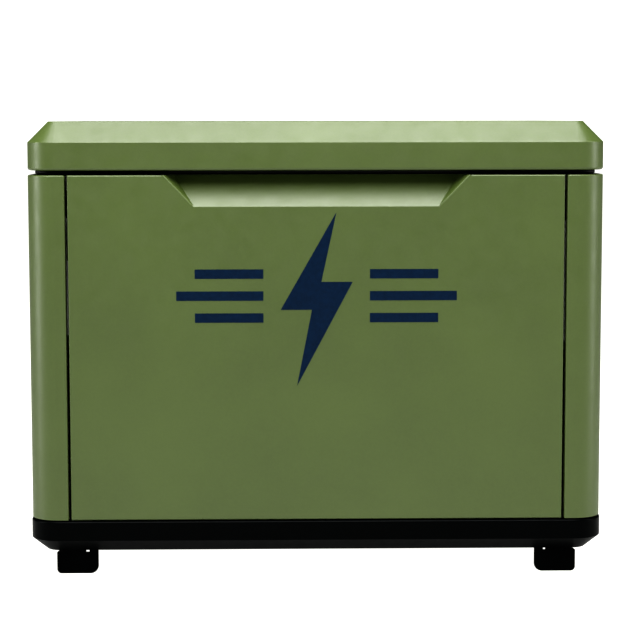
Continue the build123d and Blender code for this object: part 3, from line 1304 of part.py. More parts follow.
# ------------------------------------------------------------------------------ all the pieces
def build():
    """Every named piece of the generator."""
    left_cam = lock_cam()
    return {
        "base_tray": base_tray(),
        "feet": feet(),
        "foot_screws": foot_screws(),
        "corner_posts": corner_posts(),
        "top_frame": top_frame(),
        "left_side_panel": side_panel(-1),
        "right_side_panel": side_panel(1),
        "back_panel": back_panel(),
        "left_louvre": side_louvre(-1),
        "right_louvre": side_louvre(1),
        "panel_screws": panel_screws(),
        "front_panel": front_panel(),
        "front_panel_studs": front_studs(),
        "front_panel_insulation": front_insulation(),
        "front_emblem": emblem(),
        "lid_shell": lid_shell(),
        "lid_seal": lid_seal(),
        "lid_insulation": lid_insulation(),
        "lid_brackets": lid_brackets(),
        "lid_prop": lid_prop(),
        "hinge_body_leaves": at_hinges(hinge_body_leaf()),
        "hinge_lid_leaves": at_hinges(hinge_lid_leaf()),
        "hinge_pins": at_hinges(hinge_pin()),
        "lock_housings": both_sides(lock_housing()),
        "left_lock_cam": left_cam,
        "right_lock_cam": mirror(left_cam, about=Plane.YZ),
        "vibration_mounts": vibration_mounts(),
        "engine_cradle": engine_cradle(),
        "crankcase": crankcase(),
        "cylinders": group(*[bank(finned_cylinder(), i) for i in (0, 1)]),
        "rocker_covers": group(*[bank(rocker_cover(), i) for i in (0, 1)]),
        "crankshaft": crankshaft(),
        "flywheel_fan": flywheel_fan(),
        "blower_housing": blower_housing(),
        "alternator_casing": alternator_casing(),
        "alternator_stator": alternator_stator(),
        "alternator_rotor": alternator_rotor(),
        "starter_motor": starter_motor(),
        "oil_filter": oil_filter(),
        "dipstick_tube": dipstick_tube(),
        "dipstick": dipstick(),
        "intake_manifold": intake_manifold(),
        "air_cleaner": air_cleaner(),
        "muffler": muffler(),
        "control_box": control_box(),
        "display_window": display_window(),
        "auto_button": button(0),
        "off_button": button(1),
        "run_button": button(2),
        "breaker_body": breaker_body(),
        "breaker_toggle": breaker_toggle(),
        "shutdown_switch": shutdown_switch(),
        "shutdown_button": shutdown_button(),
        "battery": battery(),
        "battery_cables": battery_cables(),
        "gas_regulator": gas_regulator(),
        "fuel_inlet": fuel_inlet(),
        "gas_hose": gas_hose(),
    }


os.makedirs("parts", exist_ok=True)
for name, shape in build().items():
    export_step(shape, f"parts/{name}.step")
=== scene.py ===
import json
import logging
from dataclasses import dataclass, field
from enum import Enum
from math import cos, pi, radians, sin, tau
from typing import Callable, Iterable, Optional, Sequence, Union

import bmesh
import bpy
from mathutils import Matrix, Vector


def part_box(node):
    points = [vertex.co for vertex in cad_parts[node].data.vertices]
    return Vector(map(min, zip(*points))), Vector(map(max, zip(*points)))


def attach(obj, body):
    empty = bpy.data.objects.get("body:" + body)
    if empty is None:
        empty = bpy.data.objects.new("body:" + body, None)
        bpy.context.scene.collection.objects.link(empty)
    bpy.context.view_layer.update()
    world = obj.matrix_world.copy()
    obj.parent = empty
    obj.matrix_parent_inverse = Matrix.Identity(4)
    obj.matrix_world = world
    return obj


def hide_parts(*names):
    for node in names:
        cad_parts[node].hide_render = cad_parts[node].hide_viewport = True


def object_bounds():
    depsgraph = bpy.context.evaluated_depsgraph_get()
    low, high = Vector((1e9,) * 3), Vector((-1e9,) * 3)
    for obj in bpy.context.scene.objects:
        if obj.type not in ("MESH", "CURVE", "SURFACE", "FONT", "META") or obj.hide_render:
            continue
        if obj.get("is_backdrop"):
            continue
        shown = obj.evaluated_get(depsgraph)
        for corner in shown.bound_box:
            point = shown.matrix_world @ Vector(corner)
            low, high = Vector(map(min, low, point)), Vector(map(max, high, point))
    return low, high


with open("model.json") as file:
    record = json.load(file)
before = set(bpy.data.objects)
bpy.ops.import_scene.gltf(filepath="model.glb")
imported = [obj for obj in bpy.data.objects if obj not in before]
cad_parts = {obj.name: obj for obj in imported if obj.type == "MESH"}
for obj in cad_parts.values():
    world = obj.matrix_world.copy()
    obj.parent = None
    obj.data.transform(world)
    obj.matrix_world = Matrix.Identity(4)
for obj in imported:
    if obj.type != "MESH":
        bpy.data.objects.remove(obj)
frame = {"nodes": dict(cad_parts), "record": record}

LOG = logging.getLogger("standby_generator")
MM = 0.001
SMOOTH_ANGLE = radians(34)

Point = Union[Vector, tuple[float, float, float]]
Colour = tuple[float, float, float]
Profile = Sequence[tuple[float, float]]
Socket = bpy.types.NodeSocket


def mm(x: float, y: float, z: float) -> Vector:
    """A vector given in millimetres."""
    return Vector((x * MM, y * MM, z * MM))


def profile(*points: tuple[float, float]) -> Profile:
    """A profile's points, given in millimetres."""
    return [(a * MM, b * MM) for a, b in points]


class Body(Enum):
    """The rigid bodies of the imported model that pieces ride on."""

    ENCLOSURE = "enclosure"
    LID = "lid"
    FRONT = "front"


class Along(Enum):
    """Directions that round pieces and brushed grain run along."""

    X = (1.0, 0.0, 0.0)
    Y = (0.0, 1.0, 0.0)
    Z = (0.0, 0.0, 1.0)

    @property
    def vector(self) -> Vector:
        """The direction as a vector."""
        return Vector(self.value)


# ---------------------------------------------------------------------------------- materials
class Graph:
    """One material's node graph, with short calls for the nodes that the finishes share."""

    def __init__(self, name: str) -> None:
        """Starts a material.

        Args:
            name: the material's name.
        """
        self.material = bpy.data.materials.new(name)
        self.material.use_nodes = True
        self.tree = self.material.node_tree
        self.shader = self.tree.nodes["Principled BSDF"]
        self.place = self.tree.nodes.new("ShaderNodeTexCoord").outputs["Object"]

    def node(self, kind: str, **settings: object) -> bpy.types.Node:
        """Adds a node.

        Args:
            kind: the node's type.
            **settings: properties to set on it.

        Returns:
            The new node.
        """
        made = self.tree.nodes.new(kind)
        for key, value in settings.items():
            setattr(made, key, value)
        return made

    def join(self, source: Socket, target: Socket) -> None:
        """Links one socket to another."""
        self.tree.links.new(source, target)

    def stretched(self, scale: Sequence[float]) -> Socket:
        """Object coordinates stretched along each direction.

        Args:
            scale: the stretch along X, Y and Z.

        Returns:
            The stretched vector's socket.
        """
        mapping = self.node("ShaderNodeMapping")
        mapping.inputs["Scale"].default_value = scale
        self.join(self.place, mapping.inputs["Vector"])
        return mapping.outputs["Vector"]

    def noise(self, scale: float, detail: float = 3.0, rough: float = 0.5,
              along: Optional[Socket] = None) -> Socket:
        """A noise texture.

        Args:
            scale: features per metre.
            detail: octaves of finer noise.
            rough: how strong the finer octaves are.
            along: the coordinates to read, or None for plain object coordinates.

        Returns:
            The noise's value socket.
        """
        texture = self.node("ShaderNodeTexNoise")
        texture.inputs["Scale"].default_value = scale
        texture.inputs["Detail"].default_value = detail
        texture.inputs["Roughness"].default_value = rough
        self.join(along or self.place, texture.inputs["Vector"])
        return texture.outputs["Fac"]

    def cells(self, scale: float) -> Socket:
        """The distance field of a cell texture, with a number of cells per metre."""
        texture = self.node("ShaderNodeTexVoronoi")
        texture.inputs["Scale"].default_value = scale
        self.join(self.place, texture.inputs["Vector"])
        return texture.outputs["Distance"]

    def spread(self, value: Socket, low: float, high: float,
               start: float = 0.3, end: float = 0.7) -> Socket:
        """Maps a texture's value on to a range.

        Args:
            value: the texture's value.
            low: the result at start.
            high: the result at end.
            start: the value that gives low.
            end: the value that gives high.

        Returns:
            The mapped value's socket.
        """
        mapped = self.node("ShaderNodeMapRange")
        for key, number in (("From Min", start), ("From Max", end), ("To Min", low), ("To Max", high)):
            mapped.inputs[key].default_value = number
        self.join(value, mapped.inputs["Value"])
        return mapped.outputs["Result"]

    def blend(self, factor: Socket, first: Union[Colour, Socket],
              second: Union[Colour, Socket]) -> Socket:
        """Mixes two colours.

        Args:
            factor: 0 for the first colour and 1 for the second.
            first: a colour or a colour socket.
            second: a colour or a colour socket.

        Returns:
            The mixed colour's socket.
        """
        mix = self.node("ShaderNodeMix", data_type="RGBA")
        self.join(factor, mix.inputs[0])
        for socket, colour in ((mix.inputs[6], first), (mix.inputs[7], second)):
            if isinstance(colour, tuple):
                socket.default_value = (*colour, 1.0)
            else:
                self.join(colour, socket)
        return mix.outputs[2]

    def bump(self, height: Socket, depth: float, strength: float = 1.0) -> Socket:
        """Raises the surface by a texture.

        Args:
            height: the texture's value.
            depth: the relief's height, in metres.
            strength: how much of it shows.

        Returns:
            The normal's socket.
        """
        relief = self.node("ShaderNodeBump")
        relief.inputs["Distance"].default_value = depth
        relief.inputs["Strength"].default_value = strength
        self.join(height, relief.inputs["Height"])
        return relief.outputs["Normal"]

    def set(self, **constants: object) -> None:
        """Sets constants on the shader's own sockets; an underscore stands for a space."""
        for key, value in constants.items():
            self.shader.inputs[key.replace("_", " ")].default_value = value

    def wire(self, **sockets: Socket) -> None:
        """Links sockets to the shader's inputs; an underscore stands for a space."""
        for key, socket in sockets.items():
            self.join(socket, self.shader.inputs[key.replace("_", " ")])


def shade(colour: Colour, share: float) -> Colour:
    """A colour made darker or lighter.

    Args:
        colour: the colour.
        share: below 1 for darker and above 1 for lighter.

    Returns:
        The changed colour.
    """
    return tuple(min(1.0, channel * share) for channel in colour)


@dataclass(frozen=True)
class Finish:
    """A surface's look: each kind sets up its own shader."""

    name: str
    colour: Colour

    def build(self) -> bpy.types.Material:
        """Makes the material."""
        graph = Graph(self.name)
        self.paint(graph)
        return graph.material

    def paint(self, g: Graph) -> None:
        """Sets up the shader."""
        raise NotImplementedError


@dataclass(frozen=True)
class PowderCoat(Finish):
    """Satin powder coat: faint clouds in the colour and a fine orange-peel surface."""

    roughness: float = 0.4
    clouds: float = 0.07
    peel: float = 0.00009
    gloss: float = 0.5

    def paint(self, g: Graph) -> None:
        """Sets up the shader."""
        broad = g.noise(5.5, 4, 0.6)
        fine = g.noise(260, 2, 0.5)
        light = g.blend(g.spread(broad, 0, 1), shade(self.colour, 1 - self.clouds),
                        shade(self.colour, 1 + self.clouds))
        dusty = g.blend(g.spread(fine, 0.0, 0.16), light, shade(self.colour, 1.35))
        g.wire(Base_Color=dusty,
               Roughness=g.spread(g.noise(38, 4, 0.6), self.roughness - 0.05, self.roughness + 0.07),
               Normal=g.bump(g.noise(620, 2, 0.45), self.peel, 0.5))
        g.set(IOR=1.5, Coat_Weight=0.12, Coat_Roughness=0.3, Specular_IOR_Level=self.gloss)


@dataclass(frozen=True)
class MouldedPlastic(Finish):
    """Moulded plastic with a fine grain and faint wear in its gloss."""

    roughness: float = 0.5
    grain: float = 0.00006
    grain_size: float = 900.0
    sheen: float = 0.5

    def paint(self, g: Graph) -> None:
        """Sets up the shader."""
        tone = g.blend(g.spread(g.noise(14, 4, 0.6), 0, 1), shade(self.colour, 0.86),
                       shade(self.colour, 1.16))
        g.wire(Base_Color=tone,
               Roughness=g.spread(g.noise(55, 5, 0.6), self.roughness - 0.07, self.roughness + 0.08),
               Normal=g.bump(g.cells(self.grain_size), self.grain, 0.6))
        g.set(IOR=1.48, Specular_IOR_Level=self.sheen)


@dataclass(frozen=True)
class SheetMetal(Finish):
    """Bare or plated metal, brushed or rolled along one direction."""

    roughness: float = 0.3
    grain: Along = Along.X
    tarnish: float = 0.12

    def paint(self, g: Graph) -> None:
        """Sets up the shader."""
        stretch = [1.0 if part else 34.0 for part in self.grain.value]
        brushed = g.noise(30, 4, 0.65, g.stretched(stretch))
        tone = g.blend(g.spread(g.noise(22, 5, 0.65), 0, 1), shade(self.colour, 1 - self.tarnish),
                       shade(self.colour, 1 + self.tarnish * 0.6))
        g.wire(Base_Color=tone, Roughness=g.spread(brushed, self.roughness - 0.06, self.roughness + 0.1),
               Normal=g.bump(brushed, 0.00004, 0.35))
        g.set(Metallic=1.0)


@dataclass(frozen=True)
class CastMetal(Finish):
    """Cast metal with a sandy skin and darker stains that lie at random."""

    roughness: float = 0.5
    metallic: float = 1.0
    sand: float = 0.00025

    def paint(self, g: Graph) -> None:
        """Sets up the shader."""
        skin = g.noise(420, 4, 0.6)
        stains = g.noise(16, 6, 0.7)
        tone = g.blend(g.spread(stains, 0, 1, 0.35, 0.75), self.colour, shade(self.colour, 0.62))
        g.wire(Base_Color=g.blend(g.spread(skin, 0, 0.35), tone, shade(self.colour, 1.25)),
               Roughness=g.spread(stains, self.roughness - 0.08, self.roughness + 0.14),
               Normal=g.bump(skin, self.sand, 0.6))
        g.set(Metallic=self.metallic)


@dataclass(frozen=True)
class Rubber(Finish):
    """Black rubber with a bloom of grey dust."""

    colour: Colour = (0.016, 0.016, 0.017)
    roughness: float = 0.62

    def paint(self, g: Graph) -> None:
        """Sets up the shader."""
        bloom = g.noise(70, 5, 0.65)
        g.wire(Base_Color=g.blend(g.spread(bloom, 0, 0.6), self.colour, shade(self.colour, 2.6)),
               Roughness=g.spread(bloom, self.roughness - 0.08, self.roughness + 0.12),
               Normal=g.bump(g.noise(1300, 2, 0.5), 0.00005, 0.5))


@dataclass(frozen=True)
class FoamSkin(Finish):
    """Open-cell acoustic foam, with painted shade in the pits of its pores."""

    colour: Colour = (0.055, 0.056, 0.06)

    def paint(self, g: Graph) -> None:
        """Sets up the shader."""
        pores = g.cells(620)
        # painted shade: the same field that dents the pore pits darkens them, and lightens the cell walls
        # between them
        tone = g.blend(g.spread(pores, 0, 1, 0.05, 0.5), shade(self.colour, 0.3), shade(self.colour, 1.3))
        cloudy = g.blend(g.spread(g.noise(30, 4, 0.6), 0, 0.4), tone, shade(self.colour, 0.7))
        g.wire(Base_Color=cloudy, Normal=g.bump(pores, 0.0007, 0.8))
        g.set(Roughness=0.96, Sheen_Weight=0.2)


@dataclass(frozen=True)
class PrintedDecal(Finish):
    """Printed film: flat colour broken by print grain, with a satin lacquer."""

    roughness: float = 0.42

    def paint(self, g: Graph) -> None:
        """Sets up the shader."""
        ink = g.noise(160, 4, 0.6)
        g.wire(Base_Color=g.blend(g.spread(ink, 0, 1), shade(self.colour, 0.84), shade(self.colour, 1.2)),
               Roughness=g.spread(ink, self.roughness - 0.04, self.roughness + 0.06),
               Normal=g.bump(g.noise(620, 2, 0.45), 0.00005, 0.4))
        g.set(Specular_IOR_Level=0.2)


@dataclass(frozen=True)
class Winding(Finish):
    """Varnished copper wire, wound side by side, with painted shade in the grooves between the turns."""

    colour: Colour = (0.5, 0.2, 0.07)

    def paint(self, g: Graph) -> None:
        """Sets up the shader."""
        wire = g.node("ShaderNodeTexWave")
        wire.inputs["Scale"].default_value = 160
        wire.inputs["Distortion"].default_value = 1.5
        wire.inputs["Detail"].default_value = 2
        g.join(g.place, wire.inputs["Vector"])
        # painted shade: the wave that makes the grooves between turns also darkens them
        g.wire(Base_Color=g.blend(g.spread(wire.outputs["Fac"], 0, 1, 0, 1), shade(self.colour, 0.35),
                                  self.colour),
               Roughness=g.spread(g.noise(60, 3), 0.25, 0.4),
               Normal=g.bump(wire.outputs["Fac"], 0.0006, 0.8))
        g.set(Metallic=0.7, Coat_Weight=0.5)


@dataclass(frozen=True)
class HeatedSteel(Finish):
    """Aluminised exhaust steel with straw and blue heat tints."""

    colour: Colour = (0.42, 0.4, 0.37)

    def paint(self, g: Graph) -> None:
        """Sets up the shader."""
        heat = g.noise(5, 5, 0.65)
        straw = g.blend(g.spread(heat, 0, 1, 0.42, 0.6), self.colour, (0.42, 0.27, 0.12))
        tint = g.blend(g.spread(heat, 0, 0.8, 0.58, 0.72), straw, (0.12, 0.13, 0.22))
        rust = g.blend(g.spread(g.noise(90, 6, 0.7), 0, 0.5, 0.55, 0.75), tint, (0.16, 0.06, 0.02))
        g.wire(Base_Color=rust, Roughness=g.spread(g.noise(45, 5, 0.7), 0.32, 0.6),
               Normal=g.bump(g.noise(240, 4, 0.6), 0.0001, 0.5))
        g.set(Metallic=1.0)


@dataclass(frozen=True)
class Lamp(Finish):
    """A lit indicator or display segment behind tinted plastic."""

    strength: float = 0.6

    def paint(self, g: Graph) -> None:
        """Sets up the shader."""
        glow = g.noise(400, 2, 0.5)
        g.wire(Base_Color=g.blend(glow, shade(self.colour, 0.8), self.colour))
        g.set(Roughness=0.25, Emission_Color=(*self.colour, 1.0), Emission_Strength=self.strength)


@dataclass(frozen=True)
class StudioFloor(Finish):
    """The studio's white floor, lit from below so that shadows on it stay faint."""

    name: str = "studio_floor"
    colour: Colour = (0.36, 0.36, 0.35)
    shaded: Colour = (0.33, 0.33, 0.32)
    seen_glow: float = 0.8
    lit_glow: float = 0.36

    def paint(self, g: Graph) -> None:
        """Sets up the shader."""
        path = g.node("ShaderNodeLightPath")
        g.wire(Base_Color=g.blend(g.noise(0.7, 3, 0.5), self.shaded, self.colour),
               Emission_Strength=g.spread(path.outputs["Is Camera Ray"], self.lit_glow,
                                           self.seen_glow, 0, 1))
        g.set(Roughness=0.95, Specular_IOR_Level=0.0, Emission_Color=(1.0, 1.0, 0.96, 1.0))


GREEN_PAINT = PowderCoat("olive_powder_coat", (0.074, 0.107, 0.024), 0.42, gloss=0.8)
BLACK_PAINT = PowderCoat("black_powder_coat", (0.012, 0.012, 0.013), 0.36, 0.15)
GLOSS_BLACK = PowderCoat("engine_black", (0.014, 0.014, 0.016), 0.25, 0.2)
TRAY_PLASTIC = MouldedPlastic("tray_plastic", (0.0008, 0.0014, 0.0014), 0.34, sheen=0.06)
ZINC = SheetMetal("zinc_plate", (0.58, 0.6, 0.58), 0.34, Along.X, 0.2)
BRIGHT_STEEL = SheetMetal("bright_steel", (0.62, 0.62, 0.6), 0.26, Along.Z, 0.1)
RAW_ALLOY = CastMetal("raw_alloy", (0.5, 0.5, 0.48), 0.46)
SOFT_RUBBER = Rubber("soft_rubber")
RED_PLASTIC = MouldedPlastic("red_plastic", (0.42, 0.012, 0.01), 0.35, 0.00003)
BRASS = SheetMetal("turned_brass", (0.72, 0.5, 0.2), 0.28, Along.X, 0.15)
GREY_FOAM = FoamSkin("acoustic_foam")
RED_CABLE = Rubber("red_cable", (0.3, 0.01, 0.008), 0.4)
BLACK_PLASTIC = MouldedPlastic("black_plastic", (0.02, 0.02, 0.022), 0.45)

SLOT_FINISHES: dict[str, Finish] = {
    "panel_green": GREEN_PAINT,
    "base_black": TRAY_PLASTIC,
    "foot_black": MouldedPlastic("foot_plastic", (0.0012, 0.0018, 0.0018), 0.6, sheen=0.03),
    "louvre_black": MouldedPlastic("louvre_plastic", (0.02, 0.021, 0.022), 0.5),
    "frame_zinc": ZINC,
    "screw_zinc": BRIGHT_STEEL,
    "hinge_black": BLACK_PAINT,
    "stud_nylon": MouldedPlastic("stud_nylon", (0.03, 0.03, 0.03), 0.4),
    "foam_grey": GREY_FOAM,
    "seal_rubber": SOFT_RUBBER,
    "decal_blue": PrintedDecal("navy_decal", (0.0008, 0.014, 0.04)),
    "lock_chrome": SheetMetal("lock_chrome", (0.42, 0.42, 0.43), 0.2, Along.X, 0.25),
    "mount_rubber": Rubber("mount_rubber"),
    "cradle_black": BLACK_PAINT,
    "cast_alloy": RAW_ALLOY,
    "cover_black": GLOSS_BLACK,
    "steel_dark": SheetMetal("ground_steel", (0.4, 0.4, 0.4), 0.3, Along.Y, 0.1),
    "iron_grey": CastMetal("grey_iron", (0.16, 0.16, 0.165), 0.5, 0.8),
    "winding_copper": Winding("copper_winding"),
    "casing_alloy": CastMetal("casing_alloy", (0.44, 0.45, 0.46), 0.42),
    "filter_white": PowderCoat("filter_enamel", (0.62, 0.62, 0.6), 0.28, 0.05),
    "grip_yellow": MouldedPlastic("grip_yellow", (0.75, 0.42, 0.02), 0.35, 0.00003),
    "plastic_black": BLACK_PLASTIC,
    "muffler_steel": HeatedSteel("muffler_steel"),
    "box_grey": MouldedPlastic("controller_plastic", (0.05, 0.055, 0.06), 0.46),
    "display_dark": MouldedPlastic("display_window", (0.006, 0.012, 0.009), 0.12, 0.00001),
    "button_green": MouldedPlastic("green_button", (0.02, 0.26, 0.05), 0.3, 0.00003),
    "button_grey": MouldedPlastic("grey_button", (0.25, 0.25, 0.26), 0.3, 0.00003),
    "button_orange": MouldedPlastic("orange_button", (0.6, 0.16, 0.01), 0.3, 0.00003),
    "breaker_black": MouldedPlastic("breaker_plastic", (0.018, 0.018, 0.019), 0.42),
    "stop_red": MouldedPlastic("stop_red", (0.5, 0.01, 0.008), 0.28, 0.00003),
    "stop_yellow": MouldedPlastic("stop_yellow", (0.72, 0.44, 0.02), 0.35, 0.00003),
    "battery_case": MouldedPlastic("battery_plastic", (0.02, 0.02, 0.023), 0.42),
    "cable_rubber": Rubber("black_cable", (0.012, 0.012, 0.013), 0.4),
    "regulator_alloy": CastMetal("regulator_alloy", (0.5, 0.5, 0.48), 0.4),
    "inlet_brass": BRASS,
    "hose_rubber": Rubber("hose_rubber"),
}


class Wardrobe:
    """Builds each finish once and hands out its material."""

    _made: dict[str, bpy.types.Material] = {}

    @classmethod
    def material(cls, finish: Finish) -> bpy.types.Material:
        """The material of a finish.

        Args:
            finish: the finish.

        Returns:
            Its material, built on the first call.
        """
        if finish.name not in cls._made:
            cls._made[finish.name] = finish.build()
        return cls._made[finish.name]


def dress_frame() -> None:
    """Gives every carried-over CAD node the finish of its slot."""
    for part in frame["record"]["subparts"]:
        piece = frame["nodes"][part["node"]]
        material = Wardrobe.material(SLOT_FINISHES[part["material_slot"]])
        if not piece.material_slots:
            piece.data.materials.append(material)
        for place in piece.material_slots:
            place.material = material
    LOG.info("dressed %d nodes", len(frame["nodes"]))


# ---------------------------------------------------------------------------------- meshes
class Form:
    """A mesh shaped with bmesh operators, in metres, where it stands on the object."""

    def __init__(self) -> None:
        """Starts an empty mesh."""
        self.bm = bmesh.new()

    def turned(self, at: Point, along: Point) -> Matrix:
        """A place whose Z points along a direction.

        Args:
            at: the place.
            along: the direction.

        Returns:
            The place as a matrix.
        """
        turn = Vector(along).to_track_quat("Z", "Y").to_matrix().to_4x4()
        return Matrix.Translation(Vector(at)) @ turn

    def soften(self, verts: Iterable[bmesh.types.BMVert], by: float, segments: int = 2,
               sharper_than: float = radians(40)) -> None:
        """Rounds the sharp edges between some vertices.

        Args:
            verts: the vertices.
            by: the rounding's size, or 0 for none.
            segments: faces across each rounding.
            sharper_than: the least turn, in radians, that is rounded.
        """
        if by <= 0:
            return
        chosen = set(verts)
        edges = {e for v in chosen for e in v.link_edges if e.other_vert(v) in chosen
                 and e.calc_face_angle(0.0) > sharper_than}
        bmesh.ops.bevel(self.bm, geom=list(edges), offset=by, offset_type="OFFSET", segments=segments,
                        profile=0.5, affect="EDGES", material=-1, clamp_overlap=True)

    def block(self, low: Point, high: Point, soft: float = 0.0, place: Optional[Matrix] = None) -> "Form":
        """Adds a box.

        Args:
            low: its lowest corner.
            high: its highest corner.
            soft: the rounding of its edges.
            place: where its own frame is, or None for the object's.

        Returns:
            This form.
        """
        low, high = Vector(low), Vector(high)
        shape = Matrix.Translation((low + high) / 2) @ Matrix.Diagonal((*(high - low), 1.0))
        made = bmesh.ops.create_cube(self.bm, size=1.0, matrix=(place or Matrix()) @ shape)["verts"]
        self.soften(made, soft)
        return self

    def round_bar(self, start: Point, end: Point, radius: float, sides: int = 32, soft: float = 0.0,
                  tip: Optional[float] = None) -> "Form":
        """Adds a round, hexagonal or tapered bar.

        Args:
            start: the middle of one end.
            end: the middle of the other end.
            radius: its radius at the start.
            sides: faces round it; 6 makes a hexagon.
            soft: the rounding of its end edges.
            tip: its radius at the end, if that differs.

        Returns:
            This form.
        """
        start, end = Vector(start), Vector(end)
        run = end - start
        made = bmesh.ops.create_cone(
            self.bm, cap_ends=True, cap_tris=False, segments=sides, radius1=radius,
            radius2=radius if tip is None else tip, depth=run.length,
            matrix=self.turned((start + end) / 2, run))["verts"]
        self.soften(made, soft)
        return self

    def lathe(self, at: Point, along: Point, outline: Profile, steps: int = 32) -> "Form":
        """Spins an outline into a round piece.

        Args:
            at: the place of the outline's origin on the axis.
            along: the axis.
            outline: radius and height of each point, along a closed outline or from axis to axis.
            steps: faces round it.

        Returns:
            This form.
        """
        place = self.turned(at, along)
        ends_on_axis = outline[0][0] == 0 and outline[-1][0] == 0
        verts = [self.bm.verts.new(place @ Vector((r, 0, h))) for r, h in outline]
        pairs = list(zip(verts, verts[1:]))
        if not ends_on_axis:
            pairs.append((verts[-1], verts[0]))
        edges = [self.bm.edges.new(pair) for pair in pairs]
        before = set(self.bm.verts) - set(verts)
        bmesh.ops.spin(self.bm, geom=verts + edges, cent=Vector(at), axis=Vector(along).normalized(),
                       dvec=(0, 0, 0), angle=tau, steps=steps, use_merge=True)
        made = [v for v in self.bm.verts if v not in before]
        bmesh.ops.remove_doubles(self.bm, verts=made, dist=1e-7)
        faces = {f for v in self.bm.verts if v not in before for f in v.link_faces}
        bmesh.ops.recalc_face_normals(self.bm, faces=list(faces))
        return self

    def band(self, at: Point, along: Point, inner: float, outer: float, width: float,
             steps: int = 32) -> "Form":
        """Adds a plain ring with softened edges.

        Args:
            at: its middle.
            along: its axis.
            inner: its inner radius.
            outer: its outer radius.
            width: its width along the axis.
            steps: faces round it.

        Returns:
            This form.
        """
        half, soft = width / 2, min(width, outer - inner) * 0.2
        return self.lathe(at, along, [(inner, -half), (outer - soft, -half), (outer, -half + soft),
                                      (outer, half - soft), (outer - soft, half), (inner, half)], steps)

    def hex_bolt(self, at: Point, along: Point, width: float, washer: bool = True) -> "Form":
        """Adds a hexagon head with a chamfered top, a dished face and its washer.

        Args:
            at: the middle of the face that it sits on.
            along: the way it points.
            width: the radius across its corners.
            washer: whether a washer lies under it.

        Returns:
            This form.
        """
        at, along = Vector(at), Vector(along).normalized()
        lift = width * 0.18 if washer else 0.0
        if washer:
            self.round_bar(at, at + along * lift, width * 1.35, 28, width * 0.04)
        self.round_bar(at + along * lift, at + along * (lift + width * 0.72), width, 6, width * 0.07)
        self.lathe(at + along * (lift + width * 0.7), along,
                   [(0, 0), (width * 0.78, 0), (width * 0.7, width * 0.06), (width * 0.3, width * 0.04),
                    (0, width * 0.03)], 24)
        return self

    def socket_screw(self, at: Point, along: Point, radius: float) -> "Form":
        """Adds a domed screw head with a hexagon socket.

        Args:
            at: the middle of the face that it sits on.
            along: the way it points.
            radius: its head's radius.

        Returns:
            This form.
        """
        dome = [(0, radius * 0.2), (radius * 0.42, radius * 0.2), (radius * 0.46, radius * 0.56),
                (radius * 0.62, radius * 0.52), (radius * 0.86, radius * 0.3), (radius, 0), (0, 0)]
        return self.lathe(at, along, dome, 24)

    def piece(self, name: str, slot: str, finish: Optional[Finish] = None,
              body: Body = Body.ENCLOSURE) -> bpy.types.Object:
        """Finishes the mesh as an object that rides on a body.

        Args:
            name: the piece's name.
            slot: the record's material slot that it takes.
            finish: its finish, or None for the slot's own.
            body: the body that it rides on.

        Returns:
            The new object.
        """
        for face in self.bm.faces:
            face.smooth = True
        for edge in self.bm.edges:
            edge.smooth = edge.calc_face_angle(0.0) < SMOOTH_ANGLE
        mesh = bpy.data.meshes.new(name)
        self.bm.to_mesh(mesh)
        self.bm.free()
        made = bpy.data.objects.new(name, mesh)
        bpy.context.scene.collection.objects.link(made)
        return place_piece(made, slot, finish, body)


def place_piece(made: bpy.types.Object, slot: str, finish: Optional[Finish], body: Body) -> bpy.types.Object:
    """Dresses a piece and puts it on its body.

    Args:
        made: the piece.
        slot: the record's material slot that it takes.
        finish: its finish, or None for the slot's own.
        body: the body that it rides on.

    Returns:
        The piece.
    """
    made.data.materials.append(Wardrobe.material(finish or SLOT_FINISHES[slot]))
    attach(made, body.value)
    LOG.info("made %s", made.name)
    return made


def bent_rod(name: str, points: Sequence[Point], radius: float, slot: str, finish: Optional[Finish] = None,
             body: Body = Body.ENCLOSURE, closed: bool = False) -> bpy.types.Object:
    """Makes a lead, loop or wire that follows a smooth line.

    Args:
        name: the piece's name.
        points: the line's points.
        radius: the rod's radius.
        slot: the record's material slot that it takes.
        finish: its finish, or None for the slot's own.
        body: the body that it rides on.
        closed: whether it is a closed loop through the points.

    Returns:
        The new object.
    """
    line = bpy.data.curves.new(name, "CURVE")
    line.dimensions = "3D"
    line.bevel_depth = radius
    line.bevel_resolution = 4
    line.use_fill_caps = True
    line.resolution_u = 10
    spline = line.splines.new("POLY" if closed else "NURBS")
    spline.points.add(len(points) - 1)
    for target, point in zip(spline.points, points):
        target.co = (*point, 1.0)
    spline.use_cyclic_u = closed
    if not closed:
        spline.order_u = 3
        spline.use_endpoint_u = True
    made = bpy.data.objects.new(name, line)
    bpy.context.scene.collection.objects.link(made)
    return place_piece(made, slot, finish, body)


def middle(node: str) -> Vector:
    """The middle of a CAD node's box."""
    low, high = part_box(node)
    return (low + high) / 2


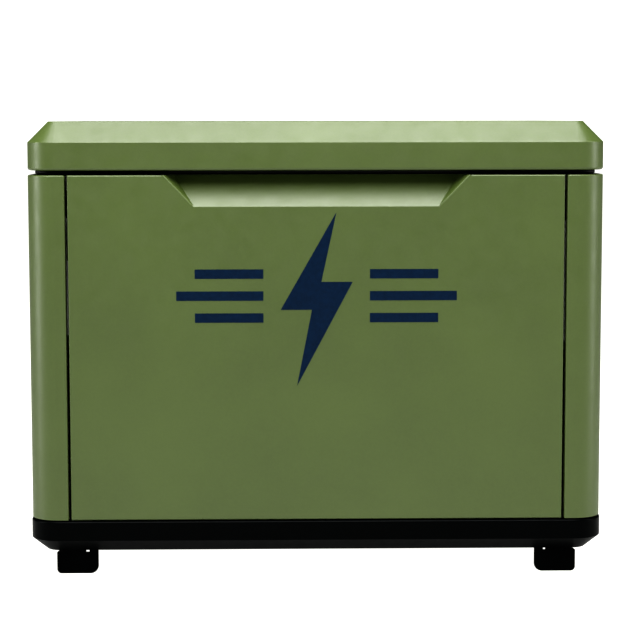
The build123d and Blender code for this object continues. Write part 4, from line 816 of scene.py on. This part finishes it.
# ---------------------------------------------------------------------------------- foam mats
@dataclass
class FoamMat:
    """A profiled acoustic foam mat: flat where it is glued, with soft rows of knobs on its face."""

    node: str
    body: Body
    thin: Along
    glued_high: bool
    knob: float = 36 * MM
    depth: float = 9 * MM
    edge: float = 5 * MM

    def build(self) -> bpy.types.Object:
        """Makes the mat in the space of its CAD solid.

        Returns:
            The mat.
        """
        low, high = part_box(self.node)
        size, centre = high - low, (low + high) / 2
        up = Vector((1, 0, 0))
        side = self.thin.vector.cross(up)
        length, width = abs(size.dot(up)), abs(size.dot(side))
        thick = abs(size.dot(self.thin.vector))
        face_way = -1.0 if self.glued_high else 1.0
        bm = bmesh.new()
        columns, rows = int(length / self.knob * 6), int(width / self.knob * 6)
        grid = bmesh.ops.create_grid(bm, x_segments=columns, y_segments=rows, size=0.5)["verts"]
        bmesh.ops.scale(bm, vec=(length, width, 1), verts=grid)
        top = self.thin.vector * face_way * thick / 2
        for v in grid:
            u, w = v.co.x, v.co.y
            knob = 0.5 - 0.5 * sin(u / self.knob * tau) * sin(w / self.knob * tau)
            rim = min(1.0, (length / 2 - abs(u)) / self.edge, (width / 2 - abs(w)) / self.edge)
            droop = self.depth * (1 - rim) ** 2 + self.depth * knob * 0.75 * rim
            v.co = centre + up * u + side * w + top * (1 - 2 * droop / thick)
        grown = bmesh.ops.extrude_face_region(bm, geom=list(bm.faces))["geom"]
        back = centre.dot(self.thin.vector) - face_way * thick / 2
        for v in (item for item in grown if isinstance(item, bmesh.types.BMVert)):
            v.co += self.thin.vector * (back - v.co.dot(self.thin.vector))
        bmesh.ops.recalc_face_normals(bm, faces=list(bm.faces))
        form = Form()
        form.bm.free()
        form.bm = bm
        mat = form.piece(self.node + "_mat", "foam_grey", body=self.body)
        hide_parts(self.node)
        return mat


# ---------------------------------------------------------------------------------- lid
@dataclass
class LidFittings:
    """What Blender adds to the lid: its bulb seal, foam, foam clips and the hinge leaves' screws."""

    corner: float = 26 * MM
    clip_radius: float = 12 * MM
    screw_radius: float = 4.6 * MM
    arc_steps: int = 10

    def seal(self) -> None:
        """A bulb seal round the lid, where its CAD ring is."""
        low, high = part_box("lid_seal")
        radius = (high.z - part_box("left_side_panel")[1].z) / 2
        inset = radius + 1.0 * MM
        z = high.z - radius
        points = []
        for side, turn in ((1, 0), (-1, 90), (-1, 180), (1, 270)):
            x = (high.x - inset - self.corner) * side
            y = high.y - inset - self.corner if turn in (0, 90) else low.y + inset + self.corner
            for step in range(self.arc_steps + 1):
                angle = radians(turn + 90 * step / self.arc_steps)
                points.append((x + self.corner * cos(angle), y + self.corner * sin(angle), z))
        bead = bent_rod("lid_seal_bulb", points, radius * 0.96, "seal_rubber", body=Body.LID, closed=True)
        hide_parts("lid_seal")

    def clips(self) -> None:
        """Round clips that hold the foam to the lid."""
        low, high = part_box("lid_insulation")
        form = Form()
        for column in range(4):
            for row in range(3):
                x = low.x + (high.x - low.x) * (column + 0.5) / 4
                y = low.y + (high.y - low.y) * (row + 0.5) / 3
                form.lathe((x, y, low.z + 5 * MM), (0, 0, -1),
                           [(0, 5.2 * MM), (self.clip_radius * 0.5, 5 * MM), (self.clip_radius, 2 * MM),
                            (self.clip_radius, 0), (0, 0)], 28)
        form.piece("foam_clips", "stud_nylon", BLACK_PLASTIC, body=Body.LID)

    def hinge_screws(self) -> None:
        """Domed screws in the holes of all four hinge leaves."""
        for node, body in (("hinge_body_leaves", Body.ENCLOSURE), ("hinge_lid_leaves", Body.LID)):
            low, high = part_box(node)
            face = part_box("back_panel")[1].y + 2.5 * MM
            z = low.z + 14 * MM if body is Body.ENCLOSURE else high.z - 14 * MM
            form = Form()
            hinge_x = high.x - 45 * MM
            for side in (-1, 1):
                for offset in (-27 * MM, 27 * MM):
                    form.socket_screw((side * hinge_x + offset, face, z), (0, 1, 0), self.screw_radius)
            form.piece(node + "_screws", "screw_zinc", body=body)

    def build(self) -> None:
        """Makes the lid's fittings."""
        self.seal()
        FoamMat("lid_insulation", Body.LID, Along.Z, glued_high=True).build()
        self.clips()
        self.hinge_screws()


# ---------------------------------------------------------------------------------- cabinet
@dataclass
class CabinetFittings:
    """What Blender adds to the cabinet: louvre screws and screens, rivets and a blank data plate."""

    screw_radius: float = 3.2 * MM
    screw_sink: float = 0.9 * MM
    screen_pitch: float = 9 * MM
    wire: float = 0.6 * MM
    plate_size: tuple[float, float] = (110 * MM, 70 * MM)

    def louvre(self, node: str, side: int) -> None:
        """Corner screws and an insect screen for one louvre.

        Args:
            node: the louvre.
            side: -1 for the left one and 1 for the right one.
        """
        low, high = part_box(node)
        outer = low.x if side < 0 else high.x
        inner = high.x if side < 0 else low.x
        form = Form()
        inset = 5 * MM
        for y in (low.y + inset, (low.y + high.y) / 2, high.y - inset):
            for z in (low.z + inset, high.z - inset):
                form.socket_screw((outer - side * self.screw_sink, y, z), (side, 0, 0), self.screw_radius)
        form.piece(node + "_screws", "screw_zinc")
        screen = Form()
        x0, x1 = sorted((inner, inner - side * self.wire * 2))
        margin = 11 * MM
        y = low.y + margin
        while y < high.y - margin:
            screen.block((x0, y, low.z + margin), (x1, y + self.wire, high.z - margin))
            y += self.screen_pitch
        z = low.z + margin
        while z < high.z - margin:
            screen.block((x0, low.y + margin, z), (x1, high.y - margin, z + self.wire))
            z += self.screen_pitch
        screen.piece(node + "_screen", "frame_zinc")

    def data_plate(self) -> None:
        """A blank riveted plate low on the back panel."""
        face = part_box("back_panel")[1].y
        width, height = self.plate_size
        centre = Vector((0.16, face, 0.2))
        form = Form()
        form.block(centre + Vector((-width / 2, 0, -height / 2)),
                   centre + Vector((width / 2, 0.8 * MM, height / 2)), 0.3 * MM)
        form.piece("data_plate", "casing_alloy", SheetMetal("plate_alloy", (0.6, 0.61, 0.62), 0.3))
        rivets = Form()
        for x in (-1, 1):
            for z in (-1, 1):
                at = centre + Vector((x * (width / 2 - 6 * MM), 0.8 * MM, z * (height / 2 - 6 * MM)))
                rivets.lathe(at, (0, 1, 0), profile((0, 1.3), (1.4, 1), (2.4, 0), (0, 0)), 20)
        rivets.piece("data_plate_rivets", "screw_zinc")

    def conduit_plug(self) -> None:
        """A rubber grommet round the conduit hole."""
        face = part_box("back_panel")[1].y
        form = Form()
        form.band((-0.33, face - 1 * MM, 0.2), (0, 1, 0), 17.05 * MM, 21 * MM, 4.4 * MM)
        form.piece("conduit_grommet", "seal_rubber")

    def build(self) -> None:
        """Makes the cabinet's fittings."""
        self.louvre("left_louvre", -1)
        self.louvre("right_louvre", 1)
        self.data_plate()
        self.conduit_plug()


# ---------------------------------------------------------------------------------- engine
@dataclass
class EngineFittings:
    """What Blender adds to the engine: bolts, plugs and leads, weld beads, bands and clamps."""

    bank_angle: float = 45.0
    cover_half: float = 41 * MM
    bolt: float = 6 * MM
    axis: Vector = field(default_factory=lambda: Vector((0, 0, 0)))

    def __post_init__(self) -> None:
        """Reads the crankshaft's axis from the frame."""
        self.axis = middle("crankshaft")

    def bank_place(self, index: int) -> Matrix:
        """The frame of a cylinder bank, with Z up the bore from the crankshaft's axis.

        Args:
            index: 0 for the front bank and 1 for the back one.

        Returns:
            The frame as a matrix.
        """
        low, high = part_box("rocker_covers")
        half_flange = 52 * MM
        x = low.x + half_flange if index == 0 else high.x - half_flange
        turn = radians(self.bank_angle if index == 0 else -self.bank_angle)
        return Matrix.Translation((x, self.axis.y, self.axis.z)) @ Matrix.Rotation(turn, 4, "X")

    def cover_bolts(self) -> None:
        """Four bolts on the flange of each rocker cover, and a raised rib on each cover."""
        form, rib = Form(), Form()
        for index in (0, 1):
            place = self.bank_place(index)
            up = (place.to_3x3() @ Vector((0, 0, 1)))
            for x in (-1, 1):
                for y in (-1, 1):
                    at = place @ Vector((x * 46 * MM, y * self.cover_half, 273 * MM))
                    form.hex_bolt(at, up, self.bolt)
            for x in (-20, 0, 20):
                rib.block((x * MM - 3 * MM, -30 * MM, 303 * MM),
                          (x * MM + 3 * MM, 30 * MM, 306 * MM), 1.2 * MM, place)
        form.piece("rocker_cover_bolts", "screw_zinc")
        rib.piece("rocker_cover_ribs", "cover_black")

    def spark_plugs(self) -> None:
        """A plug, its boot and its lead at the left side of each head."""
        steel, boots = Form(), Form()
        for index in (0, 1):
            place = self.bank_place(index)
            out = Vector((-1, 0, 0))
            root = place @ mm(-48, 0, 246)
            steel.round_bar(root, root + out * 8 * MM, 9 * MM, 6, 0.8 * MM)
            boots.lathe(root + out * 8 * MM, out,
                        profile((0, 0), (9, 0), (10, 4), (8, 12), (8, 24), (6, 28), (0, 28)), 24)
            tip = root + out * 34 * MM
            inner_y = tip.y * 0.3
            lead = [tip, tip + mm(-22, 0, 6), tip + Vector((-34 * MM, -tip.y * 0.25, 34 * MM)),
                    Vector((tip.x - 16 * MM, tip.y * 0.45, 0.5)), Vector((tip.x + 30 * MM, inner_y, 0.505))]
            lead += [Vector((x, inner_y, z)) for x, z in ((0.1, 0.49), (0.19, 0.47), (0.2, 0.437))]
            bent_rod(f"plug_lead_{index}", lead, 3.4 * MM, "cable_rubber")
        steel.piece("spark_plugs", "screw_zinc")
        boots.piece("spark_plug_boots", "seal_rubber")

    def bolt_ring(self, form: Form, x: float, way: int, radius: float, angles: Iterable[float],
                  size: float, washer: bool = True) -> None:
        """Sets bolts in a circle round the crankshaft's axis, on a face square to X.

        Args:
            form: the mesh that takes the bolts.
            x: where the face lies.
            way: 1 for a face that looks to +X, and -1 for -X.
            radius: the circle's radius.
            angles: the bolts' angles in degrees, from +Y towards +Z.
            size: the bolts' size.
            washer: whether a washer lies under each head.
        """
        for angle in map(radians, angles):
            at = Vector((x, self.axis.y + radius * cos(angle), self.axis.z + radius * sin(angle)))
            form.hex_bolt(at, (way, 0, 0), size, washer)

    def blower_bolts(self) -> None:
        """Bolts round the blower housing's face and a rolled lip on its inlet."""
        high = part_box("blower_housing")[1]
        form = Form()
        self.bolt_ring(form, high.x, 1, 128 * MM, range(-90, 270, 60), 5 * MM)
        form.piece("blower_bolts", "screw_zinc")
        lip = Form()
        lip.band((high.x, self.axis.y, self.axis.z), (1, 0, 0), 96 * MM, 100 * MM, 3 * MM, 64)
        lip.piece("blower_lip", "cover_black")

    def alternator_bolts(self) -> None:
        """Through bolts and a bearing cap on the alternator's outer end."""
        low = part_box("alternator_casing")[0]
        form = Form()
        self.bolt_ring(form, low.x, -1, 110 * MM, range(45, 405, 90), 7 * MM)
        form.piece("alternator_bolts", "screw_zinc")
        cap = Form()
        cap.band((low.x - 3 * MM, self.axis.y, self.axis.z), (-1, 0, 0), 15 * MM, 34 * MM, 6 * MM, 48)
        cap.piece("alternator_bearing_cap", "casing_alloy", RAW_ALLOY)

    def filter_flutes(self) -> None:
        """Wrench flutes and a painted band on the oil filter."""
        low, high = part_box("oil_filter")
        x, z = (low.x + high.x) / 2, (low.z + high.z) / 2
        radius = (high.x - low.x) / 2
        form = Form()
        for step in range(14):
            turn = Matrix.Translation((x, 0, z)) @ Matrix.Rotation(tau * step / 14, 4, "Y")
            form.block((radius - 1.5 * MM, high.y - 24 * MM, -3 * MM),
                       (radius + 1.2 * MM, high.y - 9 * MM, 3 * MM), 1 * MM, turn)
        form.band((x, low.y + 46 * MM, z), (0, 1, 0), radius - 0.5 * MM, radius + 0.4 * MM, 22 * MM, 48)
        form.piece("oil_filter_band", "button_orange", PrintedDecal("filter_orange", (0.5, 0.12, 0.01)))

    def starter_details(self) -> None:
        """Through bolts on the starter and the studs and nuts of its solenoid."""
        low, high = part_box("starter_motor")
        brass, steel = Form(), Form()
        solenoid_y, solenoid_z = low.y + 17.5 * MM, high.z - 21 * MM
        for y in (-8, 8):
            at = Vector((low.x + 14 * MM, solenoid_y + y * MM, solenoid_z + 9 * MM))
            brass.round_bar(at, at + mm(-14, 0, 0), 2.6 * MM, 16, 0.5 * MM)
            brass.hex_bolt(at + mm(-1, 0, 0), (-1, 0, 0), 5 * MM)
        for y in (-1, 1):
            at = Vector((low.x, high.y - 49 * MM + y * 28 * MM, solenoid_z - 46 * MM))
            steel.hex_bolt(at, (-1, 0, 0), 4.5 * MM)
        brass.piece("solenoid_studs", "inlet_brass")
        steel.piece("starter_bolts", "screw_zinc")

    def muffler_details(self) -> None:
        """Weld beads where the pipes enter the muffler, and two clamp bands round its can."""
        can_y, can_top, inlet_z = 0.2, 0.388, 0.19
        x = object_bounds()[1].x - 129.5 * MM
        beads, bands = Form(), Form()
        for at in ((x, 0.166, can_top + 6 * MM), (x - 22 * MM, 0.23, can_top + 6 * MM)):
            beads.lathe(at, (0, 0, 1), profile((14.5, -2), (17.5, -2), (17, 1), (15.5, 3), (14.5, 3)), 32)
        beads.band((x + 78 * MM, can_y, inlet_z), (1, 0, 0), 21.5 * MM, 26 * MM, 5 * MM)
        for z in (0.2, 0.33):
            bands.band((x, can_y, z), (0, 0, 1), 78.5 * MM, 82.5 * MM, 14 * MM, 64)
            for y in (can_y - 10 * MM, can_y + 6 * MM):
                bands.block((x - 94 * MM, y, z - 6 * MM), (x - 80 * MM, y + 4 * MM, z + 6 * MM), 0.8 * MM)
            bands.hex_bolt((x - 88 * MM, can_y - 10 * MM, z), (0, -1, 0), 4 * MM)
        beads.piece("muffler_welds", "muffler_steel")
        bands.piece("muffler_bands", "screw_zinc")

    def case_bolts(self) -> None:
        """Bolts round the crankcase's cover and on the engine's feet."""
        low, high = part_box("crankcase")
        form = Form()
        self.bolt_ring(form, low.x, -1, 96 * MM, (45 * step + 22.5 for step in range(8)), 4.5 * MM, False)
        for x in (low.x + 24 * MM, high.x - 24 * MM):
            for side in (-1, 1):
                form.hex_bolt((x, side * 107 * MM, low.z + 12 * MM), (0, 0, 1), 8 * MM)
        form.piece("crankcase_bolts", "screw_zinc")

    def hose_clamps(self) -> None:
        """Worm clamps on both ends of the gas hose."""
        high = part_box("gas_hose")[1]
        start = Vector((-0.15, 0.286, 0.518))
        form = Form()
        for at, along in ((start + mm(0, 0, 14), Vector((0, 0, 1))),
                          (Vector((high.x - 14 * MM, 0, 0.47)), Vector((1, 0, 0)))):
            form.band(at, along, 11 * MM, 12.2 * MM, 9 * MM, 36)
            across = Vector((0, 0, 1)) if along.x else Vector((-1, 0, 0))
            centre = at + across * 15 * MM
            form.round_bar(centre - mm(0, 7, 0), centre + mm(0, 7, 0), 3.6 * MM, 20, 0.6 * MM)
            form.hex_bolt(centre - mm(0, 7, 0), (0, -1, 0), 3.6 * MM, False)
        form.piece("hose_clamps", "screw_zinc")

    def build(self) -> None:
        """Makes the engine's fittings."""
        self.cover_bolts()
        self.spark_plugs()
        self.blower_bolts()
        self.alternator_bolts()
        self.filter_flutes()
        self.starter_details()
        self.muffler_details()
        self.case_bolts()
        self.hose_clamps()


# ---------------------------------------------------------------------------------- controls
@dataclass
class ControlFittings:
    """What Blender adds to the controls and the battery: print, lamps, caps, cables and a conduit."""

    tilt: float = 38.0

    def face_place(self) -> Matrix:
        """The controller's sloping face: X across, Y up the slope, Z out of it.

        Returns:
            The frame of the face's lower left corner.
        """
        box_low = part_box("control_box")[0]
        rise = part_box("auto_button")
        turn = Matrix.Rotation(radians(self.tilt), 4, "X")
        centre = (rise[0] + rise[1]) / 2
        outward = turn.to_3x3() @ Vector((0, 0, 1))
        upward = turn.to_3x3() @ Vector((0, 1, 0))
        origin = centre - outward * 1 * MM - upward * 30 * MM
        return Matrix.Translation((box_low.x, origin.y, origin.z)) @ turn

    def overlay(self) -> None:
        """Pale printed bars on the sloping face, one by each button and a long one over them."""
        place = self.face_place()
        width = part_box("control_box")[1].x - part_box("control_box")[0].x
        bars = Form()
        for index in range(3):
            x = (44 + 34 * index) * MM
            bars.block((x - 10 * MM, 46 * MM, 0), (x + 10 * MM, 49 * MM, 0.5 * MM), 0.2 * MM, place)
        bars.block((14 * MM, 84 * MM, 0), (width - 120 * MM, 88 * MM, 0.5 * MM), 0.2 * MM, place)
        bars.piece("controller_marks", "button_grey", PrintedDecal("pale_print", (0.6, 0.62, 0.62)))

    def lamps(self) -> None:
        """Three indicator lamps over the buttons, green, amber and red."""
        place = self.face_place()
        out = place.to_3x3() @ Vector((0, 0, 1))
        lamps = {"ready": ("button_green", (0.03, 0.6, 0.08), 0.5),
                 "service": ("button_orange", (0.7, 0.3, 0.01), 0.06),
                 "fault": ("stop_red", (0.35, 0.01, 0.01), 0.06)}
        for index, (name, (slot, colour, glow)) in enumerate(lamps.items()):
            form = Form()
            at = place @ mm(44 + 34 * index, 62, 0)
            form.lathe(at, out, profile((0, 2.6), (1.6, 2.2), (2.5, 1.2), (2.6, 0), (0, 0)), 20)
            form.piece(f"{name}_lamp", slot, Lamp(f"{name}_light", colour, glow))

    def display(self) -> None:
        """Lit bars on the display, like a level reading."""
        place = self.face_place()
        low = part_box("display_window")[0]
        left = low.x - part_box("control_box")[0].x
        form = Form()
        for index in range(9):
            x = left + (10 + 7 * index) * MM
            top = (52 + 2.6 * index) * MM
            form.block((x, 48 * MM, 2 * MM), (x + 4.5 * MM, top, 2.4 * MM), 0.1 * MM, place)
        form.piece("display_bars", "button_green", Lamp("display_glow", (0.2, 0.75, 0.35), 0.5))

    def breaker(self) -> None:
        """Terminal screws and a marked window on the breaker."""
        low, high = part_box("breaker_body")
        x = (low.x + high.x) / 2
        form, window = Form(), Form()
        for side in (-1, 1):
            for z in (low.z + 14 * MM, high.z - 40 * MM):
                form.socket_screw((x + side * 20 * MM, low.y, z), (0, -1, 0), 5 * MM)
        form.piece("breaker_screws", "screw_zinc")
        window.block((x - 24 * MM, low.y - 0.6 * MM, low.z + 34 * MM),
                     (x + 24 * MM, low.y, low.z + 58 * MM), 0.25 * MM)
        window.piece("breaker_window", "button_grey", PrintedDecal("breaker_print", (0.5, 0.5, 0.48)))

    def battery(self) -> None:
        """Six cell caps, a strap, and a cable with its boot on each of the two posts."""
        low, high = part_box("battery")
        top = high.z - 14 * MM
        caps = Form()
        for index in range(6):
            x = low.x + 33 * MM + index * 27.2 * MM
            caps.lathe((x, low.y + 88 * MM, top), (0, 0, 1),
                       profile((0, 3.5), (7, 3.5), (9, 2), (9.4, 0), (0, 0)), 24)
            caps.block((x - 6 * MM, low.y + 87 * MM, top + 3.4 * MM),
                       (x + 6 * MM, low.y + 89 * MM, top + 4.6 * MM), 0.4 * MM)
        caps.piece("battery_caps", "battery_case", BLACK_PLASTIC)
        strap = Form()
        y0, y1 = high.y - 30 * MM, high.y - 12 * MM
        strap.block((low.x - 1.5 * MM, y0, top), (high.x + 1.5 * MM, y1, top + 2.5 * MM), 0.8 * MM)
        for x0, x1 in ((low.x - 3 * MM, low.x - 0.5 * MM), (high.x + 0.5 * MM, high.x + 3 * MM)):
            strap.block((x0, y0, low.z + 4 * MM), (x1, y1, top + 2.5 * MM), 0.8 * MM)
        strap.piece("battery_strap", "hinge_black")
        routes = {
            "positive": (RED_CABLE, RED_PLASTIC, [
                (-0.372, -0.246, 0.232), (-0.372, -0.246, 0.269), (-0.332, -0.218, 0.281),
                (-0.26, -0.191, 0.277), (-0.17, -0.176, 0.271), (-0.08, -0.18, 0.268),
                (-0.03, -0.178, 0.268), (0.024, -0.178, 0.268)]),
            "negative": (SLOT_FINISHES["cable_rubber"], BLACK_PLASTIC, [
                (-0.248, -0.246, 0.232), (-0.248, -0.246, 0.259), (-0.208, -0.221, 0.263),
                (-0.175, -0.208, 0.226), (-0.14, -0.201, 0.176), (-0.06, -0.191, 0.147),
                (-0.02, -0.166, 0.15), (-0.02, -0.093, 0.15)]),
        }
        for name, (cover, plastic, route) in routes.items():
            cable = bent_rod(f"{name}_cable", route, 4.5 * MM, "cable_rubber", cover)
            if name == "positive":
                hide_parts("battery_cables")
            post = Vector(route[0]) - mm(0, 0, 14)
            boot = Form()
            boot.round_bar(post + mm(0, 0, 2), post + mm(0, 0, 17), 13 * MM, 32, 2.5 * MM)
            boot.round_bar(post + mm(0, 0, 16), post + mm(0, 0, 27), 8 * MM, 28, 1.5 * MM, 5.4 * MM)
            boot.piece(f"{name}_boot", "cable_rubber", plastic)

    def conduit(self) -> None:
        """A corrugated wiring conduit from the controller down to the alternator."""
        low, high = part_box("control_box")
        case_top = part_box("alternator_casing")[1].z
        x = high.x - 40 * MM
        y = high.y - 30 * MM
        route = [Vector((x, y, low.z)), Vector((x, y, low.z - 40 * MM)),
                 Vector((x + 6 * MM, y + 20 * MM, low.z - 90 * MM))]
        route += [Vector((x + 8 * MM, y + back * MM, case_top + up * MM))
                  for back, up in ((60, 50), (110, 34), (140, 6), (146, -24))]
        bent_rod("wiring_conduit", route, 8 * MM, "plastic_black")
        glands = Form()
        glands.round_bar(route[0], route[0] - mm(0, 0, 14), 13 * MM, 6, 1 * MM)
        glands.round_bar(route[0] - mm(0, 0, 13), route[0] - mm(0, 0, 24), 11 * MM, 28, 2 * MM)
        glands.piece("conduit_gland", "plastic_black")

    def build(self) -> None:
        """Makes the controls' fittings."""
        self.overlay()
        self.lamps()
        self.display()
        self.breaker()
        self.battery()
        self.conduit()


# ---------------------------------------------------------------------------------- studio
@dataclass
class Studio:
    """A white floor, soft area lights and the camera."""

    camera_place: Point = (-0.0589, -3.74, 0.7965)
    pitch: float = -5.808
    yaw: float = -1.088
    roll: float = 0.07
    lens: float = 111.3
    world_fill: float = 0.06
    backdrop: Colour = (0.982, 0.99, 0.955)

    def floor(self) -> None:
        """A wide floor that the feet stand on."""
        bm = bmesh.new()
        bmesh.ops.create_grid(bm, x_segments=1, y_segments=1, size=30.0)
        mesh = bpy.data.meshes.new("floor")
        bm.to_mesh(mesh)
        bm.free()
        made = bpy.data.objects.new("floor", mesh)
        bpy.context.scene.collection.objects.link(made)
        mesh.materials.append(Wardrobe.material(StudioFloor()))
        made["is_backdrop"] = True

    def area_light(self, name: str, place: Point, target: Point, size: tuple[float, float],
                   power: float, colour: Colour = (1.0, 1.0, 1.0)) -> None:
        """Adds a soft area light.

        Args:
            name: its name.
            place: where it is.
            target: the point that it faces.
            size: its width and height.
            power: its power in watts.
            colour: its colour.
        """
        data = bpy.data.lights.new(name, "AREA")
        data.shape = "RECTANGLE"
        data.size, data.size_y = size
        data.energy = power
        data.color = colour
        made = bpy.data.objects.new(name, data)
        made.location = place
        made.rotation_euler = (Vector(target) - Vector(place)).to_track_quat("-Z", "Y").to_euler()
        bpy.context.scene.collection.objects.link(made)

    def lights(self) -> None:
        """A broad top light, a front fill and a strip at each side."""
        centre = (0.0, 0.0, 0.45)
        self.area_light("top_light", (0.0, -1.7, 3.3), (0.0, -0.75, 0.6), (3.4, 3.4), 204)
        self.area_light("front_fill", (-0.3, -3.8, 3.0), centre, (3.5, 2.2), 8)
        self.area_light("left_strip", (-3.0, -0.7, 1.2), centre, (0.9, 3.0), 38)
        self.area_light("right_strip", (3.0, -0.7, 1.2), centre, (0.9, 3.0), 28)
        self.area_light("back_light", (0.0, 4.2, 2.2), centre, (4.0, 2.0), 25)

    def world(self) -> None:
        """A near-white surround, dimmer as a light than as a backdrop."""
        world = bpy.data.worlds.new("studio_world")
        bpy.context.scene.world = world
        world.use_nodes = True
        tree = world.node_tree
        tree.nodes.clear()
        seen, lit = tree.nodes.new("ShaderNodeBackground"), tree.nodes.new("ShaderNodeBackground")
        seen.inputs["Color"].default_value = (*self.backdrop, 1.0)
        lit.inputs["Color"].default_value = (1.0, 1.0, 1.0, 1.0)
        lit.inputs["Strength"].default_value = self.world_fill
        path = tree.nodes.new("ShaderNodeLightPath")
        mix = tree.nodes.new("ShaderNodeMixShader")
        out = tree.nodes.new("ShaderNodeOutputWorld")
        tree.links.new(path.outputs["Is Camera Ray"], mix.inputs[0])
        tree.links.new(lit.outputs[0], mix.inputs[1])
        tree.links.new(seen.outputs[0], mix.inputs[2])
        tree.links.new(mix.outputs[0], out.inputs["Surface"])

    def camera(self) -> None:
        """A camera level with the top of the lid, looking slightly down at the front."""
        data = bpy.data.cameras.new("camera")
        data.lens = self.lens
        data.sensor_width = 36.0
        made = bpy.data.objects.new("camera", data)
        turn = Matrix.Rotation(radians(self.yaw), 4, "Z") @ Matrix.Rotation(radians(self.pitch), 4, "X")
        level = Matrix.Rotation(radians(self.roll), 4, "Y") @ Matrix.Rotation(pi / 2, 4, "X")
        made.matrix_world = Matrix.Translation(self.camera_place) @ turn @ level
        bpy.context.scene.collection.objects.link(made)
        bpy.context.scene.camera = made

    def build(self) -> None:
        """Makes the studio."""
        self.camera()
        self.floor()
        self.lights()
        self.world()
        look = bpy.context.scene.view_settings
        look.view_transform = "Standard"
        look.look = "High Contrast"


def main() -> None:
    """Dresses the frame and makes every piece."""
    logging.basicConfig(level=logging.INFO, format="%(name)s: %(message)s")
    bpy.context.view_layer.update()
    Studio().build()
    dress_frame()
    assemblies: dict[str, Callable[[], None]] = {
        "lid": LidFittings().build,
        "front panel foam": FoamMat("front_panel_insulation", Body.FRONT, Along.Y, glued_high=False).build,
        "cabinet": CabinetFittings().build,
        "engine": EngineFittings().build,
        "controls": ControlFittings().build,
    }
    for name, build in assemblies.items():
        LOG.info("building %s", name)
        build()


if __name__ == "__main__":
    main()
